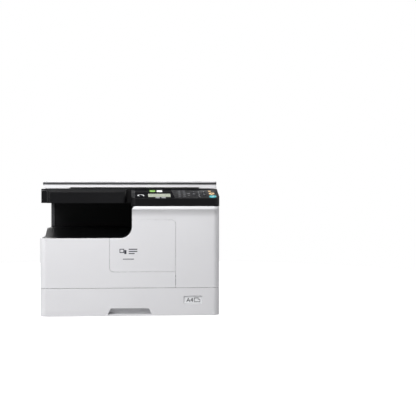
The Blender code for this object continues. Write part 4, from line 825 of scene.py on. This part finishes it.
# Three rows of cells, and a frame at the right where the number of copies stands.
cell_z, cell_pitch = (0.0009, 0.0012), 0.0052
cells = []
for row, count in enumerate((5, 8, 4)):
    v = 0.0405 - row * 0.0105
    for cell in range(count):
        left = 0.064 + cell * cell_pitch
        cells.append(slab((left, v - 0.0018, cell_z[0]), (left + 0.0036, v + 0.0018, cell_z[1])))
for left, low, right, high in ((0.1150, 0.0200, 0.1280, 0.0222), (0.1150, 0.0380, 0.1280, 0.0402),
                               (0.1150, 0.0222, 0.1170, 0.0380), (0.1260, 0.0222, 0.1280, 0.0380)):
    cells.append(slab((left, low, cell_z[0]), (right, high, cell_z[1])))
add_piece("display_cells", on_slope(merged(*cells)), screen_ink, "machine")


def lamp_finish(name, colour, glow):
    """A lit window: its own colour, with a little light of the same colour from behind."""
    material, nodes, links, shader, space = blank_finish(name)
    links.new(blend_colours(nodes, links, noise(nodes, links, space, 200.0),
                            [(0.3, colour), (0.7, tuple(0.92 * part for part in colour))]),
              shader.inputs["Base Color"])
    shader.inputs["Emission Color"].default_value = (*colour, 1.0)
    shader.inputs["Emission Strength"].default_value = glow
    shader.inputs["Roughness"].default_value = 0.25
    return material


green_lamp = lamp_finish("green_lamp", (0.20, 0.42, 0.07), 0.20)
white_lamp = lamp_finish("white_lamp", (0.86, 0.88, 0.84), 0.15)
add_piece("ready_lamp", on_slope(slab((0.0645, 0.070, 0.0002), (0.0835, 0.089, 0.0012), 0.0004)), green_lamp,
          "machine")
add_piece("copy_lamp", on_slope(slab((0.0885, 0.070, 0.0002), (0.1070, 0.089, 0.0012), 0.0004)), white_lamp,
          "machine")

key_grey = moulding("film_key_grey", (0.40, 0.41, 0.43), (0.44, 0.45, 0.47), 0.4, 0.03, 1500.0)
menu_keys = [slab((x, 0.0010, 0.0002), (x + 0.0135, 0.0080, 0.0012), 0.0004) for x in (0.0825, 0.1020)]
film_keys = [slab((x, v, 0.0), (x + 0.0090, v + 0.0060, 0.0007), 0.0003)
             for x in (0.1585, 0.1745) for v in (0.016, 0.034, 0.052, 0.070, 0.086)]
add_piece("menu_keys", on_slope(merged(*menu_keys)), key_grey, "machine")
film_dark = moulding("film_key_dark", (0.060, 0.062, 0.068), (0.072, 0.074, 0.080), 0.4, 0.03, 1500.0)
add_piece("film_keys", on_slope(merged(*film_keys)), film_dark, "machine")

legends = [slab((x + 0.0015, v + 0.0085, 0.0), (x + 0.0085, v + 0.0100, 0.0004))
           for x in (0.1585, 0.1745) for v in (0.016, 0.034, 0.052, 0.070)]
legends += [slab((0.1900, 0.0500, 0.0), (0.1985, 0.0560, 0.0004)),
            slab((0.1900, 0.0300, 0.0), (0.1960, 0.0330, 0.0004))]
legend_grey = moulding("legend_grey", (0.24, 0.245, 0.25), (0.28, 0.285, 0.29), 0.5, 0.03, 1800.0, 0.000004)
add_piece("panel_legends", on_slope(merged(*legends)), legend_grey, "machine")

# A bent arrow beside the display shows which way the original is turned.
arrow = bmesh.new()
arrow_middle = Vector((0.0345, 0.0300, 0.0))
section = [arrow.verts.new(arrow_middle + Vector((dx, 0.0, dz))) for dx, dz in
           ((0.0075, 0.0005), (0.0105, 0.0005), (0.0105, 0.0009), (0.0075, 0.0009))]
section_face = arrow.faces.new(section)
bmesh.ops.spin(arrow, geom=[section_face], cent=arrow_middle, axis=(0, 0, 1), angle=radians(235), steps=16)
bmesh.ops.recalc_face_normals(arrow, faces=arrow.faces)
head = plate([(0.0060, 0.0), (0.0125, 0.0), (0.0092, -0.0065)], 0.0005, 0.0009)
head.transform(Matrix.Translation(arrow_middle))
add_piece("turn_arrow", on_slope(merged(arrow, head)), mark_paint, "machine")

# ---------------------------------------------------------------------------------------------
# Push keys: moulded caps in their own holes, each with a softly crowned top; the number keys carry
# a printed figure, and start and stop a printed sign. Start is teal, stop and reset are amber.


def key_place(name):
    """Middle of a key on the slope: x along the panel, v up the slope, and its top's height."""
    low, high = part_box(name)
    middle = slope.inverted() @ ((low + high) / 2)
    return middle.x, middle.y, middle.z + 0.00365


key_dark = moulding("key_dark", (0.022, 0.023, 0.026), (0.028, 0.029, 0.032), 0.42, 0.04, 1600.0,
                    0.00003, 0.3)
figure_white = moulding("figure_white", (0.66, 0.67, 0.68), (0.62, 0.63, 0.64), 0.45, 0.03, 2000.0, 0.000004)
for digit in range(10):
    name = f"key_{digit}"
    x, v, top = key_place(name)
    add_piece(f"{name}_cap", softened(name, 0.0003, 2, 35), key_dark, f"{name}_cap", (name,))
    figure = lettering(str(digit), 0.0052, 0.0003)
    figure.transform(Matrix.Translation((x, v, top + 0.0001)))
    add_piece(f"{name}_figure", on_slope(figure), figure_white, f"{name}_cap")


def gloss_key(name, colour, shade):
    """Clear-coated coloured plastic, lit faintly from below."""
    material, nodes, links, shader, space = blank_finish(name)
    links.new(blend_colours(nodes, links, noise(nodes, links, space, 120.0), [(0.3, colour), (0.7, shade)]),
              shader.inputs["Base Color"])
    shader.inputs["Roughness"].default_value = 0.28
    shader.inputs["Coat Weight"].default_value = 0.3
    shader.inputs["Emission Color"].default_value = (*colour, 1.0)
    shader.inputs["Emission Strength"].default_value = 0.12
    return material


teal = gloss_key("start_teal", (0.075, 0.45, 0.49), (0.065, 0.41, 0.45))
amber = gloss_key("stop_amber", (0.82, 0.57, 0.30), (0.78, 0.53, 0.27))
for name, material, slot in (("start_key", teal, "teal_key"), ("stop_key", amber, "amber_key"),
                             ("reset_key", amber, "amber_key")):
    add_piece(f"{name}_cap", softened(name, 0.0003, 2, 35), material, f"{name}_cap", (name,))
x, v, top = key_place("start_key")
diamond = plate([(x, v - 0.0055), (x + 0.0048, v), (x, v + 0.0055), (x - 0.0048, v)], top, top + 0.0002)
add_piece("start_key_sign", on_slope(diamond), figure_white, "start_key_cap")
x, v, top = key_place("stop_key")
half = 0.0032
square = plate([(x - half, v - half), (x + half, v - half), (x + half, v + half), (x - half, v + half)], top,
               top + 0.0002)
add_piece("stop_key_sign", on_slope(square), ink, "stop_key_cap")
